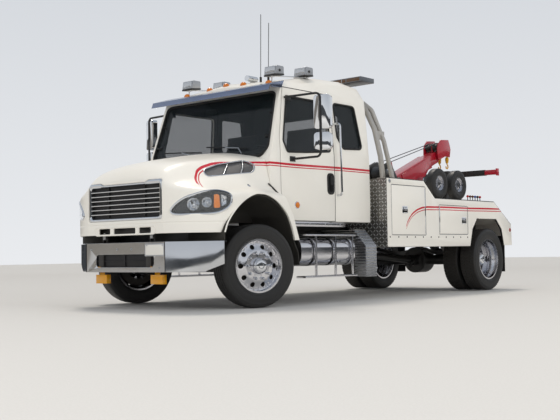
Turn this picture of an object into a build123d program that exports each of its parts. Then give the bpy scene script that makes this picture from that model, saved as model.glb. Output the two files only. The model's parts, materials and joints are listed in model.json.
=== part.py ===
from build123d import *
import math
import os

os.makedirs("parts", exist_ok=True)

# A tow truck in millimetres: +X forward, +Y to its left, +Z up, z = 0 on the ground.
# Pieces are drawn with x = 0 on the front axle, and save() moves them to the finished
# place, which has its origin under the middle of the overall length.

# Overall sizes
wheelbase = 4930
front_overhang = 1015
rear_overhang = 1010
overall_length = front_overhang + wheelbase + rear_overhang
front_axle_x = overall_length / 2 - front_overhang
rear_axle = -wheelbase

# Clearances
seat_gap = 0.3
running_gap = 6
panel_gap = 8
pin_gap = 0.5

# Wheels
tyre_radius = 455
tyre_width = 255
bead_radius = 286
flange_radius = 299
rim_width = 210
rim_wall = 10
axle_height = tyre_radius
front_wheel_y = 1035
rear_outer_y = 1080
dual_spacing = 290
hand_hole_count = 10
hand_hole_radius = 27
hand_hole_circle = 212
nut_circle = 143
hub_cap_radius = 86
spindle_radius = 42

# Steering
kingpin_y = 880
kingpin_radius = 22
steer_angle = -17

# Frame rails
rail_outer_y = 432
rail_height = 260
rail_flange = 80
rail_wall = 9
rail_top = 920
rail_front = 925
tail_length = 670

# Front bumper
bumper_wall = 8
bumper_centre_half = 650
bumper_sweep = 345
bumper_low = 407
bumper_high = 727
bumper_slot_half = 480
bumper_slot_low = 460
bumper_slot_high = 600

# Hood
hood_wall = 22
hood_rear = -240
hood_low = 815
fender_half_width = 1195
bumper_half_width = fender_half_width - 10
arch_front = 659
arch_rear = -472
arch_top = 1234
hood_hinge_x = 945
hood_hinge_z = 785

# Grille
grille_half_width = 605
grille_low = 965
grille_high = 1392
grille_bar_count = 6
grille_bar_height = 13
grille_depth = 30

# Cab
cab_front = hood_rear - panel_gap
cab_rear = -2175
cab_floor = 960
cab_half_width = 1020
cab_wall = 50
door_thickness = 40
door_lip = 25
door_front = -440
door_rear = -1440
door_top = 2505
glass_thickness = 6
visor_half = cab_half_width - 35
antenna_radius = 4
pod_y = cab_half_width - 320
pod_height = 105
roof_rail_front = -676
roof_rail_rear = -1310
roof_rail_front_z = 2692
roof_rail_slope = 0.1

# Wrecker body
body_front = -2294
body_half_width = 1200
body_inner_y = 600
body_low = 650
body_skin = 28
locker_door_thickness = 24
locker_gap = 5
locker_lip = 20
shoulder_z = 1525
deck_z = 1300
centre_deck_z = 980
deck_plate = 6
bulkhead_thickness = 6
tail_rear = rear_axle - 727

# Boom
boom_pivot_x = -3240
boom_pivot_z = 1240
boom_angle = 21.5
boom_length = 2050
boom_width = 210
boom_height = 200
boom_wall = 12
boom_extension = boom_length - 550
boom_overlap = 290
head_width = 270
sheave_radius = 68
sheave_places = ((boom_length + 333, 136), (boom_length + 530, 30))
sheave_pin_radius = 22
cylinder_radius = 62
rod_radius = 36
cylinder_y = 185
cylinder_top = (1580, -150)
cylinder_foot = (-4280, 1075)
pin_radius = 28

# Underlift
lift_pivot_x = rear_axle - 690
lift_pivot_z = 580
stinger_x = rear_axle - 870
stinger_width = 150
stinger_wall = 12
stinger_top = 1480
stinger_reach = 500
stinger_overlap = 280
crossbar_half = 865
crossbar_z = 1820
crossbar_height = 88

# Dolly wheels on the body sides
dolly_radius = 210
dolly_width = 120
dolly_bead_radius = 108
dolly_outer_y = 1150
dolly_places = (-3690, -4210)
dolly_spindle_radius = 20


def outline(points, radius=0):
    """Closed flat face through the points, its corners rounded by one radius."""
    if radius:
        return make_face(FilletPolyline(*points, radius=radius, close=True))
    return make_face(Polyline(*points, close=True))


def side_prism(points, y_low, y_high, radius=0):
    """Solid with an (x, z) outline, between two y places."""
    plane = Plane(origin=(0, y_high, 0), x_dir=(1, 0, 0), z_dir=(0, -1, 0))
    return extrude(plane * outline(points, radius), amount=y_high - y_low)


def front_prism(points, x_low, x_high, radius=0):
    """Solid with a (y, z) outline, between two x places."""
    plane = Plane(origin=(x_low, 0, 0), x_dir=(0, 1, 0), z_dir=(1, 0, 0))
    return extrude(plane * outline(points, radius), amount=x_high - x_low)


def front_face(points, x):
    """Flat face with a (y, z) outline, at one x place."""
    return Plane(origin=(x, 0, 0), x_dir=(0, 1, 0), z_dir=(1, 0, 0)) * outline(points)


def plan_prism(points, z_low, z_high, radius=0):
    """Solid with an (x, y) outline, between two heights."""
    return extrude(Plane.XY.offset(z_low) * outline(points, radius), amount=z_high - z_low)


def block(x_low, x_high, y_low, y_high, z_low, z_high):
    """Box between six places."""
    centre = Pos((x_low + x_high) / 2, (y_low + y_high) / 2, (z_low + z_high) / 2)
    return centre * Box(x_high - x_low, y_high - y_low, z_high - z_low)


def rod(start, end, radius):
    """Round bar between two points."""
    axis = Vector(*end) - Vector(*start)
    return extrude(Plane(origin=start, z_dir=axis) * Circle(radius), amount=axis.length)


def bent_bar(points, radius, bend):
    """Round bar along straight runs joined by arcs."""
    path = FilletPolyline(*points, radius=bend)
    return sweep(Plane(origin=path @ 0, z_dir=path % 0) * Circle(radius), path=path)


def pair(shape):
    """A left piece and its mirror image on the right."""
    return [shape, mirror(shape, about=Plane.XZ)]


def joined(shapes):
    """All shapes as one."""
    return Part() + list(shapes)


def save(name, shape):
    """Write one piece in its finished place."""
    export_step(Pos(front_axle_x, 0, 0) * shape, f"parts/{name}.step")


def save_sides(name, shape):
    """Write a left piece and its mirror image on the right."""
    save(f"{name}_left", shape)
    save(f"{name}_right", mirror(shape, about=Plane.XZ))


def steered(shape, side):
    """Turn a wheel piece about its kingpin to the parked steering angle."""
    kingpin = Pos(0, side * kingpin_y, 0)
    return kingpin * Rot(0, 0, steer_angle) * kingpin.inverse() * shape


# Wheels

def tyre(radius, width, bead, flange, place_y):
    """Tyre with round sidewalls that start above the rim flanges, its axis along y."""
    bead_half = width * 0.4
    tread = width * 0.42
    crown = width * 0.33
    shoulder = radius - width * 0.06
    foot = flange + seat_gap
    bulge = (foot + shoulder) / 2
    side = [
        Line((bead, -bead_half), (bead, bead_half)),
        Line((bead, bead_half), (foot, bead_half)),
        ThreePointArc((foot, bead_half), (bulge, width / 2), (shoulder, tread)),
        Line((shoulder, tread), (radius, crown)),
        Line((radius, crown), (radius, -crown)),
        Line((radius, -crown), (shoulder, -tread)),
        ThreePointArc((shoulder, -tread), (bulge, -width / 2), (foot, -bead_half)),
        Line((foot, -bead_half), (bead, -bead_half)),
    ]
    return Pos(0, place_y, 0) * revolve(make_face(side), axis=Axis.Y)


def barrel(place_y):
    """Drop-centre rim barrel that a truck tyre sits on."""
    half = rim_width / 2
    well = bead_radius - 26
    bead = bead_radius - seat_gap
    bead_half = tyre_width * 0.4
    profile = [
        (bead, -bead_half), (bead, -bead_half + 38), (well, -28), (well, 18), (bead, bead_half - 38),
        (bead, bead_half + seat_gap), (flange_radius, bead_half + seat_gap),
        (flange_radius, half + 6), (bead - rim_wall, half + 6), (bead - rim_wall, bead_half - 34),
        (well - rim_wall, 14), (well - rim_wall, -24), (bead - rim_wall, -bead_half + 34),
        (bead - rim_wall, -half - 6), (flange_radius, -half - 6), (flange_radius, -bead_half - seat_gap),
        (bead, -bead_half - seat_gap),
    ]
    return Pos(0, place_y, 0) * revolve(outline(profile), axis=Axis.Y)


def wheel_disc(rim_y, hub_y, cap_length, bore_end):
    """Dished disc with hand holes, nuts and a hub with its cap, outboard towards +y."""
    reach = bead_radius - seat_gap - rim_wall
    profile = [
        (spindle_radius + pin_gap, hub_y - 60), (hub_cap_radius + 6, hub_y - 60),
        (nut_circle + 25, hub_y - 12),
        (hand_hole_circle, rim_y - 14), (reach + 4, rim_y - 30), (reach + 4, rim_y - 8),
        (hand_hole_circle, rim_y + 8), (nut_circle + 25, hub_y + 12), (hub_cap_radius + 4, hub_y + 12),
        (hub_cap_radius, hub_y + cap_length - 18), (hub_cap_radius - 18, hub_y + cap_length),
        (0, hub_y + cap_length), (0, bore_end), (spindle_radius + pin_gap, bore_end),
    ]
    disc = revolve(outline(profile), axis=Axis.Y)
    hole = rod((hand_hole_circle, rim_y - 60, 0), (hand_hole_circle, rim_y + 60, 0), hand_hole_radius)
    nut = rod((nut_circle, hub_y, 0), (nut_circle, hub_y + 34, 0), 16)
    step = 360 / hand_hole_count
    holes = [Rot(0, step * index, 0) * hole for index in range(hand_hole_count)]
    nuts = [Rot(0, step * index, 0) * nut for index in range(hand_hole_count)]
    return disc - holes + nuts


def front_wheel():
    """Front tyre and rim with the disc bowed outboard, in place and straight ahead."""
    disc = wheel_disc(front_wheel_y + 62, front_wheel_y + 82, 70, front_wheel_y + 60)
    rim = barrel(front_wheel_y) + disc
    rubber = tyre(tyre_radius, tyre_width, bead_radius, flange_radius, front_wheel_y)
    return Pos(0, 0, axle_height) * rubber, Pos(0, 0, axle_height) * rim


def rear_wheel():
    """Twin tyres on two barrels that share one deep-set disc."""
    inner_y = rear_outer_y - dual_spacing
    middle = (rear_outer_y + inner_y) / 2
    disc = wheel_disc(middle + 24, middle + 30, 120, middle + 60)
    rim = barrel(rear_outer_y) + barrel(inner_y) + disc + inner_ring(middle)
    tyres = [tyre(tyre_radius, tyre_width, bead_radius, flange_radius, y) for y in (inner_y, rear_outer_y)]
    return Compound(tyres), rim


def inner_ring(middle):
    """Ring that ties the two barrels of a twin wheel."""
    outer = bead_radius - seat_gap
    profile = [(outer - rim_wall, middle - 60), (outer, middle - 60), (outer, middle + 60),
               (outer - rim_wall, middle + 60)]
    return revolve(outline(profile), axis=Axis.Y)


def knuckle():
    """Left steering knuckle: a yoke with its kingpin, and the spindle."""
    z = axle_height
    half = 62
    pin = rod((0, kingpin_y, z - half - 34), (0, kingpin_y, z + half + 34), kingpin_radius)
    ears = [block(-45, 45, kingpin_y - 40, kingpin_y + 70, z + s * (half + 17) - 17, z + s * (half + 17) + 17)
            for s in (-1, 1)]
    back = block(-45, 45, kingpin_y + 48, kingpin_y + 70, z - half - 34, z + half + 34)
    spindle = rod((0, kingpin_y + 50, z), (0, front_wheel_y + 55, z), spindle_radius)
    arm = plan_prism([(-45, kingpin_y + 50), (-45, kingpin_y - 20), (-200, kingpin_y - 70),
                      (-200, kingpin_y - 40), (-90, kingpin_y + 50)], z - half - 34, z - half)
    return joined([pin, *ears, back, spindle, arm])


# Chassis

def rails():
    """Two channel rails, open inwards, with cross pieces, cab pads and bumper brackets."""
    low = rail_top - rail_height
    inner = rail_outer_y - rail_flange
    channel = [(rail_outer_y, low), (rail_outer_y, rail_top), (inner, rail_top),
               (inner, rail_top - rail_wall),
               (rail_outer_y - rail_wall, rail_top - rail_wall), (rail_outer_y - rail_wall, low + rail_wall),
               (inner, low + rail_wall), (inner, low)]
    rail_rear = rear_axle - tail_length
    rail = front_prism(channel, rail_rear, rail_front)
    cross_places = (rail_front - 60, -1250, -2700, rear_axle + 700, rear_axle - 500)
    web_y = rail_outer_y - rail_wall
    crosses = [block(x - 60, x + 60, -web_y, web_y, rail_top - 100, rail_top - 20) for x in cross_places]
    pads = [block(x - 60, x + 60, inner, rail_outer_y, rail_top, cab_floor) for x in (-500, cab_rear + 120)]
    bracket = block(rail_front, front_overhang - bumper_wall, inner, rail_outer_y, bumper_low + 60,
                    bumper_high - 8)
    foot = block(rail_front - 140, rail_front, rail_outer_y - rail_wall - 12, rail_outer_y, bumper_low + 60,
                 low)
    ears = [block(hood_hinge_x - 18, hood_hinge_x + 8, y, y + 14, bumper_high - 10, hood_hinge_z + 18)
            for y in (352, 418)]
    hinge_pin = rod((hood_hinge_x, 352, hood_hinge_z), (hood_hinge_x, 432, hood_hinge_z), 12)
    sides = joined([rail, *pads, bracket, foot, *ears, hinge_pin])
    return joined([*pair(sides), *crosses])


def bumper():
    """Bright three-piece bumper: flat centre with its slot, and swept ends."""
    face = front_overhang
    plan = [(face, -bumper_centre_half), (face, bumper_centre_half),
            (face - bumper_sweep, bumper_half_width),
            (face - bumper_sweep - bumper_wall, bumper_half_width - 5),
            (face - bumper_wall, bumper_centre_half - 4), (face - bumper_wall, -bumper_centre_half + 4),
            (face - bumper_sweep - bumper_wall, -bumper_half_width + 5),
            (face - bumper_sweep, -bumper_half_width)]
    shell = plan_prism(plan, bumper_low, bumper_high)
    flange_plan = [(face - 2, -bumper_centre_half), (face - 2, bumper_centre_half),
                   (face - bumper_sweep, bumper_half_width - 8),
                   (face - bumper_sweep - 60, bumper_half_width - 20),
                   (face - 60, bumper_centre_half - 20), (face - 60, -bumper_centre_half + 20),
                   (face - bumper_sweep - 60, -bumper_half_width + 20),
                   (face - bumper_sweep, -bumper_half_width + 8)]
    flange = plan_prism(flange_plan, bumper_high - bumper_wall, bumper_high)
    slot = front_prism([(-bumper_slot_half, bumper_slot_low), (bumper_slot_half, bumper_slot_low),
                        (bumper_slot_half, bumper_slot_high), (-bumper_slot_half, bumper_slot_high)],
                       face - 40, face + 40, radius=48)
    corner = side_prism([(face - bumper_sweep - 100, bumper_low - 20), (face - 240, bumper_low - 20),
                         (face - 240, bumper_low + 8), (face - bumper_sweep - 100, bumper_low + 150)],
                        -bumper_half_width - 20, bumper_half_width + 20)
    return shell + flange - slot - corner


def fog_lamps():
    """Two amber lamps hung below the bumper on straps."""
    x = front_overhang - 60
    lamp = block(x - 60, x, 365, 550, 280, 378)
    strap = block(x - 20, x - 12, 420, 495, 378, bumper_low + 60)
    foot = block(x - 20, front_overhang - bumper_wall, 420, 495, bumper_low + 52, bumper_low + 60)
    return joined(pair(lamp + strap + foot))


def front_axle():
    """Dropped axle beam with an eye for each kingpin."""
    z = axle_height
    eye_half = 62 - running_gap / 2
    eye = rod((0, kingpin_y, z - eye_half), (0, kingpin_y, z + eye_half), 40)
    bore = rod((0, kingpin_y, z - 100), (0, kingpin_y, z + 100), kingpin_radius + pin_gap)
    drop = front_prism([(kingpin_y - 25, z - 45), (kingpin_y - 25, z + 45), (560, z + 20), (500, z + 20),
                        (-500, z + 20), (-560, z + 20), (-kingpin_y + 25, z + 45), (-kingpin_y + 25, z - 45),
                        (-600, z - 70), (600, z - 70)], -42, 42)
    return joined([drop, *pair(eye)]) - pair(bore)


def leaf_springs(axle_x, half, seat_z):
    """Two leaf springs over one axle, with their hangers under the rails."""
    low = rail_top - rail_height
    width = 76
    y = rail_outer_y - 4 - width / 2
    end_z = low - 30
    arc = [ThreePointArc((axle_x - half, end_z), (axle_x, seat_z), (axle_x + half, end_z)),
           Line((axle_x + half, end_z), (axle_x + half, end_z + 14)),
           Line((axle_x + half, end_z + 14), (axle_x + 120, seat_z + 60)),
           Line((axle_x + 120, seat_z + 60), (axle_x - 120, seat_z + 60)),
           Line((axle_x - 120, seat_z + 60), (axle_x - half, end_z + 14)),
           Line((axle_x - half, end_z + 14), (axle_x - half, end_z))]
    plane = Plane(origin=(0, y + width / 2, 0), x_dir=(1, 0, 0), z_dir=(0, -1, 0))
    leaves = extrude(plane * make_face(arc), amount=width)
    hangers = [block(axle_x + s * half - 45, axle_x + s * half + 45, y - 44, y + 42, low - 60, low)
               for s in (-1, 1)]
    return joined(pair(joined([leaves, *hangers])))


def rear_axle_housing():
    """Axle tube with its banjo centre and the two spindles."""
    z = axle_height
    inner_y = rear_outer_y - dual_spacing
    tube = rod((rear_axle, -inner_y + 30, z), (rear_axle, inner_y - 30, z), 75)
    spindle = rod((rear_axle, 0, z), (rear_axle, (rear_outer_y + inner_y) / 2 + 55, z), spindle_radius)
    banjo = rod((rear_axle - 120, 0, z), (rear_axle + 150, 0, z), 195)
    nose = rod((rear_axle + 150, 0, z), (rear_axle + 300, 0, z), 80)
    return joined([tube, *pair(spindle), banjo, nose])


def engine():
    """The engine as one plain block."""
    return block(-120, 600, -290, 290, 640, 1240)


def radiator():
    """Radiator and its frame behind the grille."""
    return block(690, 770, -rail_outer_y + rail_flange + seat_gap,
                 rail_outer_y - rail_flange - seat_gap, 700, 1330)


def driveline():
    """Gearbox and the shaft to the rear axle."""
    box = front_prism([(-210, 650), (210, 650), (160, 930), (-160, 930)], -420, -120)
    tail = rod((-420, 0, 800), (-1000, 0, 760), 120)
    shaft = rod((-980, 0, 760), (rear_axle + 300, 0, axle_height), 50)
    return joined([box, tail, shaft])


def fuel_tank():
    """Left tank: rounded barrel, three straps, filler cap and brackets to the rail."""
    front, rear = -650, -1680
    barrel_outline = [(560, 440), (1130, 440), (1130, 760), (560, 760)]
    tank = front_prism(barrel_outline, rear, front, radius=120)
    strap_outline = [(554, 434), (1136, 434), (1136, 766), (554, 766)]
    straps = [front_prism(strap_outline, x - 22, x + 22, radius=124) for x in (-890, -1260, -1600)]
    arms = [block(x - 30, x + 30, rail_outer_y, 600, 560, 740) for x in (-890, -1600)]
    cap = rod((-760, 930, 740), (-760, 930, 806), 48)
    return joined([tank, *straps, *arms, cap])


def cab_steps():
    """Left cab steps: a top and a bottom tread on three legs off the tank straps."""
    top = block(-1640, -680, 1030, 1175, 782, 800)
    low = block(-1640, -640, 1060, 1195, 300, 322)
    legs = [block(x - 14, x + 14, 1142, 1160, 322, 782) for x in (-890, -1260, -1600)]
    ties = [block(x - 14, x + 14, 1136, 1142, 560, 640) for x in (-890, -1260, -1600)]
    return joined([top, low, *legs, *ties])


def step_box():
    """Left ribbed step box between the tank and the body."""
    rear, front = -2040, -1818
    profile = [(rail_outer_y, 690), (rail_outer_y, 865), (1025, 865), (1195, 662), (1195, 286), (1020, 286),
               (1020, 690)]
    rib_profile = [(1015, 865), (1032, 872), (1203, 664), (1203, 284), (1185, 284), (1185, 650)]
    rib_count = 9
    pitch = (front - rear) / rib_count
    ribs = [front_prism(rib_profile, rear + pitch * (i + 0.25),
                        rear + pitch * (i + 0.75)) for i in range(rib_count)]
    return joined([front_prism(profile, rear, front), *ribs])


def sill_strip():
    """Left sill strip under the cab floor, behind the door's lower edge."""
    return block(-1700, -640, cab_half_width - 80, cab_half_width - 45, 898, cab_floor)


# Hood

# Hood sections from front to rear: x, crown z, ridge y and z, slope y and z, valley y and z, fender z
hood_sections = (
    (1100, 1330, 555, 1290, 715, 1235, 930, 1190, 1130),
    (1000, 1436, 550, 1396, 725, 1290, 935, 1225, 1160),
    (925, 1528, 545, 1478, 740, 1330, 940, 1250, 1185),
    (830, 1584, 545, 1530, 760, 1362, 945, 1275, 1208),
    (640, 1640, 555, 1588, 800, 1402, 960, 1312, 1240),
    (140, 1730, 600, 1668, 895, 1505, 995, 1372, 1275),
    (hood_rear, 1785, 640, 1722, 965, 1638, 1016, 1400, 1262),
)
crown_half = 300
crown_drop = 15


def hood_section(x, crown, ridge_y, ridge_z, slope_y, slope_z, valley_y, valley_z, fender_z, inset, width):
    """One cross section of the hood, drawn as a closed wire and made smaller by the inset."""
    half = [(0, crown - inset), (crown_half, crown - crown_drop - inset), (ridge_y - inset, ridge_z - inset),
            (slope_y - inset, slope_z - inset), (valley_y - inset, valley_z - inset),
            (width - 100 - inset, fender_z + 8 - inset), (width - 30 - inset, fender_z - 22 - inset),
            (width - inset, fender_z - 80 - inset), (width - inset, hood_low - 200)]
    return front_face(half + [(-y, z) for y, z in reversed(half[1:])], x)


def hood_loft(inset, reach):
    """Hood bulk through its sections, longer than the hood by the reach at the rear."""
    faces = [hood_section(*row, inset, fender_half_width) for row in hood_sections]
    rear_face = faces[-1]
    bulk = loft(faces, ruled=True)
    if reach:
        bulk += extrude(rear_face, amount=-reach)
    return bulk


def nose_plan(inset):
    """Plan outline of the nose: flat at the grille, round at the headlamps."""
    face = front_overhang - 10 - inset
    side = fender_half_width - inset
    edges = [
        Line((face, -620), (face, 620)),
        ThreePointArc((face, 620), (face - 135, 930 - inset), (arch_front - 40 - inset, side)),
        Line((arch_front - 40 - inset, side), (-900, side)),
        Line((-900, side), (-900, -side)),
        Line((-900, -side), (arch_front - 40 - inset, -side)),
        ThreePointArc((arch_front - 40 - inset, -side), (face - 135, -930 + inset), (face, -620)),
    ]
    return make_face(edges)


def hood_bulk(inset, low, reach=0):
    """Outer or inner form of the hood."""
    plan = extrude(Plane.XY.offset(low) * nose_plan(inset), amount=1200)
    return hood_loft(inset, reach) & plan


# Edge of the wheel arch in side view, from front to rear
arch_edge = (
    (arch_front, hood_low), (622, 902), (560, 985), (483, 1062), (400, 1128), (310, 1180), (225, 1215),
    (139, arch_top), (40, 1233), (-60, 1211), (-150, 1172), (-240, 1117), (-310, 1060), (-367, 990),
    (-425, 875), (arch_rear, 733),
)


def arch_outline(grow):
    """Wheel arch in the side of the hood, made larger by a margin."""
    points = []
    for x, z in arch_edge:
        away = Vector(x - 95, z - 740).normalized() * grow
        points.append((x + away.X, z + away.Y))
    return [(arch_front + grow, 600), *points, (arch_rear - grow, 600)]


def hood():
    """Tilting hood with fenders, grille opening, lower slots, lamp pockets and side vents."""
    shell = hood_bulk(0, hood_low) - hood_bulk(hood_wall, hood_low - 50, reach=80)
    arch = side_prism(arch_outline(0), 640, fender_half_width + 50)
    face = front_overhang - 10
    opening = front_prism([(-grille_half_width, grille_low), (grille_half_width, grille_low),
                           (grille_half_width, grille_high), (-grille_half_width, grille_high)],
                          face - 200, face + 100, radius=60)
    opening -= front_prism(grille_notch(0), face - 200, face + 100)
    slots = [front_prism([(low, 824), (high, 824), (high, 886), (low, 886)], face - 60, face + 60, radius=14)
             for low, high in ((-430, -240), (-180, 180), (240, 430))]
    lamp = side_prism(lamp_outline(0), 640, fender_half_width + 50, radius=24)
    vent = side_prism(vent_outline(0), 640, fender_half_width, radius=20)
    hinge = block(hood_hinge_x - 18, face - hood_wall, 372, 412, hood_hinge_z - 24, hood_low + 60)
    hinge -= rod((hood_hinge_x, 360, hood_hinge_z), (hood_hinge_x, 430, hood_hinge_z), 12 + pin_gap)
    return shell - pair(arch) - opening - slots - pair(lamp) - pair(vent) + pair(hinge) + pair(fender_tail())


def fender_tail():
    """Rear end of the left fender, which runs down behind the wheel outside the cab."""
    tail_edge = [point for point in arch_edge if point[0] < hood_rear - 1]
    outer = [(hood_rear + 1, 1290), (hood_rear + 1, 1125), *tail_edge, (arch_rear - 70, 733), (-440, 1010),
             (-320, 1200)]
    side = side_prism(outer, cab_half_width + 6 + panel_gap, fender_half_width + 10)
    return side & hood_bulk(0, 700, reach=400)


def lamp_outline(grow):
    """Headlamp pocket in side view: a leaf shape, pointed to the front."""
    return [(968 + grow, 1014 - grow), (962 + grow, 1092), (915 + grow, 1176 + grow), (790, 1232 + grow),
            (640 - grow, 1244 + grow), (562 - grow, 1200), (572 - grow, 1110), (690, 1026 - grow)]


def vent_outline(grow):
    """Side vent in side view."""
    return [(520 + grow, 1440 - grow), (500 + grow, 1490 + grow), (300, 1555 + grow),
            (-30 - grow, 1612 + grow),
            (-60 - grow, 1560), (-20 - grow, 1510 - grow)]


def skin_piece(region, depth_out, depth_in):
    """Part of the hood's skin inside a region, between two depths below the surface."""
    return region & (hood_bulk(depth_out, hood_low - 30) - hood_bulk(depth_in, hood_low - 60, reach=80))


def headlamps():
    """Both headlamps, seated in the pockets of the fenders."""
    region = side_prism(lamp_outline(-seat_gap), 640, fender_half_width + 50, radius=24 - seat_gap)
    lamp = skin_piece(region, 3, hood_wall + 40)
    return joined(pair(lamp))


def side_vents():
    """Both side vents, each a panel with two upright ribs."""
    region = side_prism(vent_outline(-seat_gap), 640, fender_half_width, radius=20)
    panel = skin_piece(region, 8, hood_wall)
    bays = [block(x - 8, x + 8, 600, fender_half_width, 1400, 1700) for x in (110, 300)]
    ribs = skin_piece(region & joined(bays), 0.5, 9)
    return joined(pair(panel + ribs))


def grille_notch(grow):
    """Lip of the hood that dips into the top of the grille at its middle."""
    high = grille_high + 40
    return [(-395 - grow, high), (-345 - grow, grille_high - 22 - grow),
            (345 + grow, grille_high - 22 - grow),
            (395 + grow, high)]


def grille():
    """Bright grille: a rounded frame, lower at the middle of its top, and flat bars."""
    face = front_overhang - 10
    half, low, high = grille_half_width - seat_gap, grille_low + seat_gap, grille_high - seat_gap
    frame = front_prism([(-half, low), (half, low), (half, high), (-half, high)], face - grille_depth,
                        face + 5,
                        radius=59)
    frame -= front_prism([(-half + 26, low + 26), (half - 26, low + 26), (half - 26, high - 38),
                          (-half + 26, high - 38)], face - 100, face + 50, radius=38)
    frame -= front_prism(grille_notch(seat_gap), face - 100, face + 50)
    span = high - low - 64
    pitch = span / (grille_bar_count + 1)
    bars = [block(face - 24, face - 2, -half + 20, half - 20,
                  low + 26 + pitch * (i + 1) - grille_bar_height / 2,
                  low + 26 + pitch * (i + 1) + grille_bar_height / 2) for i in range(grille_bar_count)]
    return joined([frame, *bars])


def grille_core():
    """Dark mesh panel behind the grille bars."""
    face = front_overhang - 10
    half = grille_half_width - 12
    return front_prism([(-half, grille_low + 12), (half, grille_low + 12), (half, grille_high - 12),
                        (-half, grille_high - 12)], face - grille_depth - 8, face - grille_depth, radius=50)


def arch_liners():
    """Dark liners over the front wheels, with a splash guard down behind each."""
    edge = fender_half_width - hood_wall - 3
    band = side_prism(arch_outline(-seat_gap), 640, edge) - side_prism(arch_outline(-20), 600, edge + 60)
    band -= block(arch_rear - 200, arch_front + 200, 600, edge + 60, 500, 735)
    inner = side_prism(arch_outline(-seat_gap), 640, 646)
    inner -= block(arch_rear - 200, arch_front + 200, 600, 700, 500, 940)
    guard_edge = [(16, 735), (2, 735), (-8, 722), (-78, 600), (-98, 452), (-84, 452), (-64, 600)]
    guard = side_prism([(arch_rear + x, z) for x, z in guard_edge], 700, edge)
    rail_arms = [block(x - 20, x + 20, rail_outer_y, 646, 870, 960) for x in (-430, 500)]
    return joined(pair(joined([band, inner, guard, *rail_arms])))


# Cab

# The windshield's plane, as its lowest and highest place in side view
windshield_line = ((cab_front, 1640), (-520, 2500))

# Roof heights at the roof's edge, at its shoulder and at its middle, from front to rear
roof_edge_y = cab_half_width - 150
roof_shoulder_y = cab_half_width - 330
roof_rows = (
    (cab_front + 20, 2520, 2548, 2600),
    (-545, 2520, 2562, 2610),
    (-690, 2562, 2620, 2672),
    (-920, 2600, 2672, 2715),
    (-1270, 2650, 2745, 2775),
    (-1990, 2690, 2775, 2800),
    (-2130, 2680, 2755, 2782),
    (cab_rear - 10, 2640, 2690, 2705),
)


def roof_z(x, y):
    """Height of the roof over one place, between the rows of its table."""
    for front, back in zip(roof_rows, roof_rows[1:]):
        if back[0] <= x:
            break
    share = (front[0] - x) / (front[0] - back[0])
    edge, shoulder, middle = [a + (b - a) * share for a, b in zip(front[1:], back[1:])]
    if abs(y) > roof_shoulder_y:
        return shoulder + (edge - shoulder) * (abs(y) - roof_shoulder_y) / (roof_edge_y - roof_shoulder_y)
    return middle + (shoulder - middle) * abs(y) / roof_shoulder_y


def cab_section(row, inset):
    """One cross section of the cab: sides that lean in above the belt, and a crowned roof."""
    x, edge, shoulder, middle = row
    half = cab_half_width - inset
    right = [(half, cab_floor - 1 + inset), (half + 6, 1230), (half, 1760), (half - 62, door_top + 8),
             (roof_edge_y - inset * 0.7, edge - inset * 0.7),
             (roof_shoulder_y - inset * 0.3, shoulder - inset)]
    points = right + [(0, middle - inset)] + [(-y, z) for y, z in reversed(right)]
    return front_face(points, x)


def cab_form(inset):
    """Cab sides and roof at some depth, drawn past both ends of the cab."""
    return loft([cab_section(row, inset) for row in roof_rows], ruled=True)


def cab_side(inset):
    """Side outline of the cab, open upwards, at some depth."""
    (low_x, low_z), (high_x, high_z) = windshield_line
    back = 0.6 * inset
    return [(-520 - back, cab_floor + inset), (cab_front - inset, 1290 + back), (low_x - inset, low_z),
            (high_x - inset, high_z), (high_x - inset - 80, high_z + 350), (cab_rear + inset, high_z + 350),
            (cab_rear + inset, cab_floor + inset)]


def cab_outer():
    """Outer form of the cab."""
    half = cab_half_width + 20
    return side_prism(cab_side(0), -half, half) & cab_form(0)


def cab_inner():
    """Space inside the cab."""
    half = cab_half_width + 20
    return side_prism(cab_side(cab_wall), -half, half) & cab_form(cab_wall)


def door_outline(grow):
    """Door in side view, its lower front corner cut for the fender."""
    return [(door_front + grow, 1290), (door_front + grow, 1900), (-560 + grow, door_top + grow),
            (door_rear - grow, door_top + grow), (door_rear - grow, cab_floor - 20),
            (-690 + grow, cab_floor - 20),
            (door_front + grow - 10, 1240)]


def side_window(grow):
    """Door window in side view."""
    return [(-560 + grow, 1752 - grow), (-500 + grow, 1880), (-612 + grow, 2402 + grow),
            (-1360 - grow, 2402 + grow), (-1370 - grow, 1810 - grow), (-900, 1770 - grow)]


def quarter_window(grow):
    """Window behind the door, in side view."""
    return [(-1500 + grow, 2412 + grow), (-1920 - grow, 2412 + grow), (-2025 - grow, 1885 - grow),
            (-1640 + grow, 1865 - grow), (-1530 + grow, 2000)]


def windshield_outline(grow):
    """Windshield opening in front view."""
    low, belt, high = [cab_half_width - inset + grow for inset in (140, 65, 120)]
    return [(-low, 1700 - grow), (low, 1700 - grow), (belt, 1800), (high, 2450 + grow), (-high, 2450 + grow),
            (-belt, 1800)]


def rear_window_outline(grow):
    """Rear window opening in front view."""
    return [(-560 - grow, 1900 - grow), (560 + grow, 1900 - grow), (560 + grow, 2380 + grow),
            (-560 - grow, 2380 + grow)]


def cab():
    """Hollow cab with its windshield, windows and door openings."""
    shell = cab_outer() - cab_inner()
    side_reach = cab_half_width + 60
    recess = side_prism(door_outline(panel_gap), cab_half_width - 180, side_reach)
    doorway = recess & block(door_rear + door_lip, door_front + 60, 0, side_reach, cab_floor + cab_wall,
                             door_top - door_lip)
    recess -= cab_form(door_thickness + seat_gap)
    quarter = side_prism(quarter_window(0), cab_half_width - 180, side_reach, radius=60)
    front = front_prism(windshield_outline(0), -800, cab_front + 60, radius=80)
    back = front_prism(rear_window_outline(0), cab_rear - 60, cab_rear + 200, radius=60)
    return shell - pair(recess) - pair(doorway) - pair(quarter) - front - back


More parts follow.
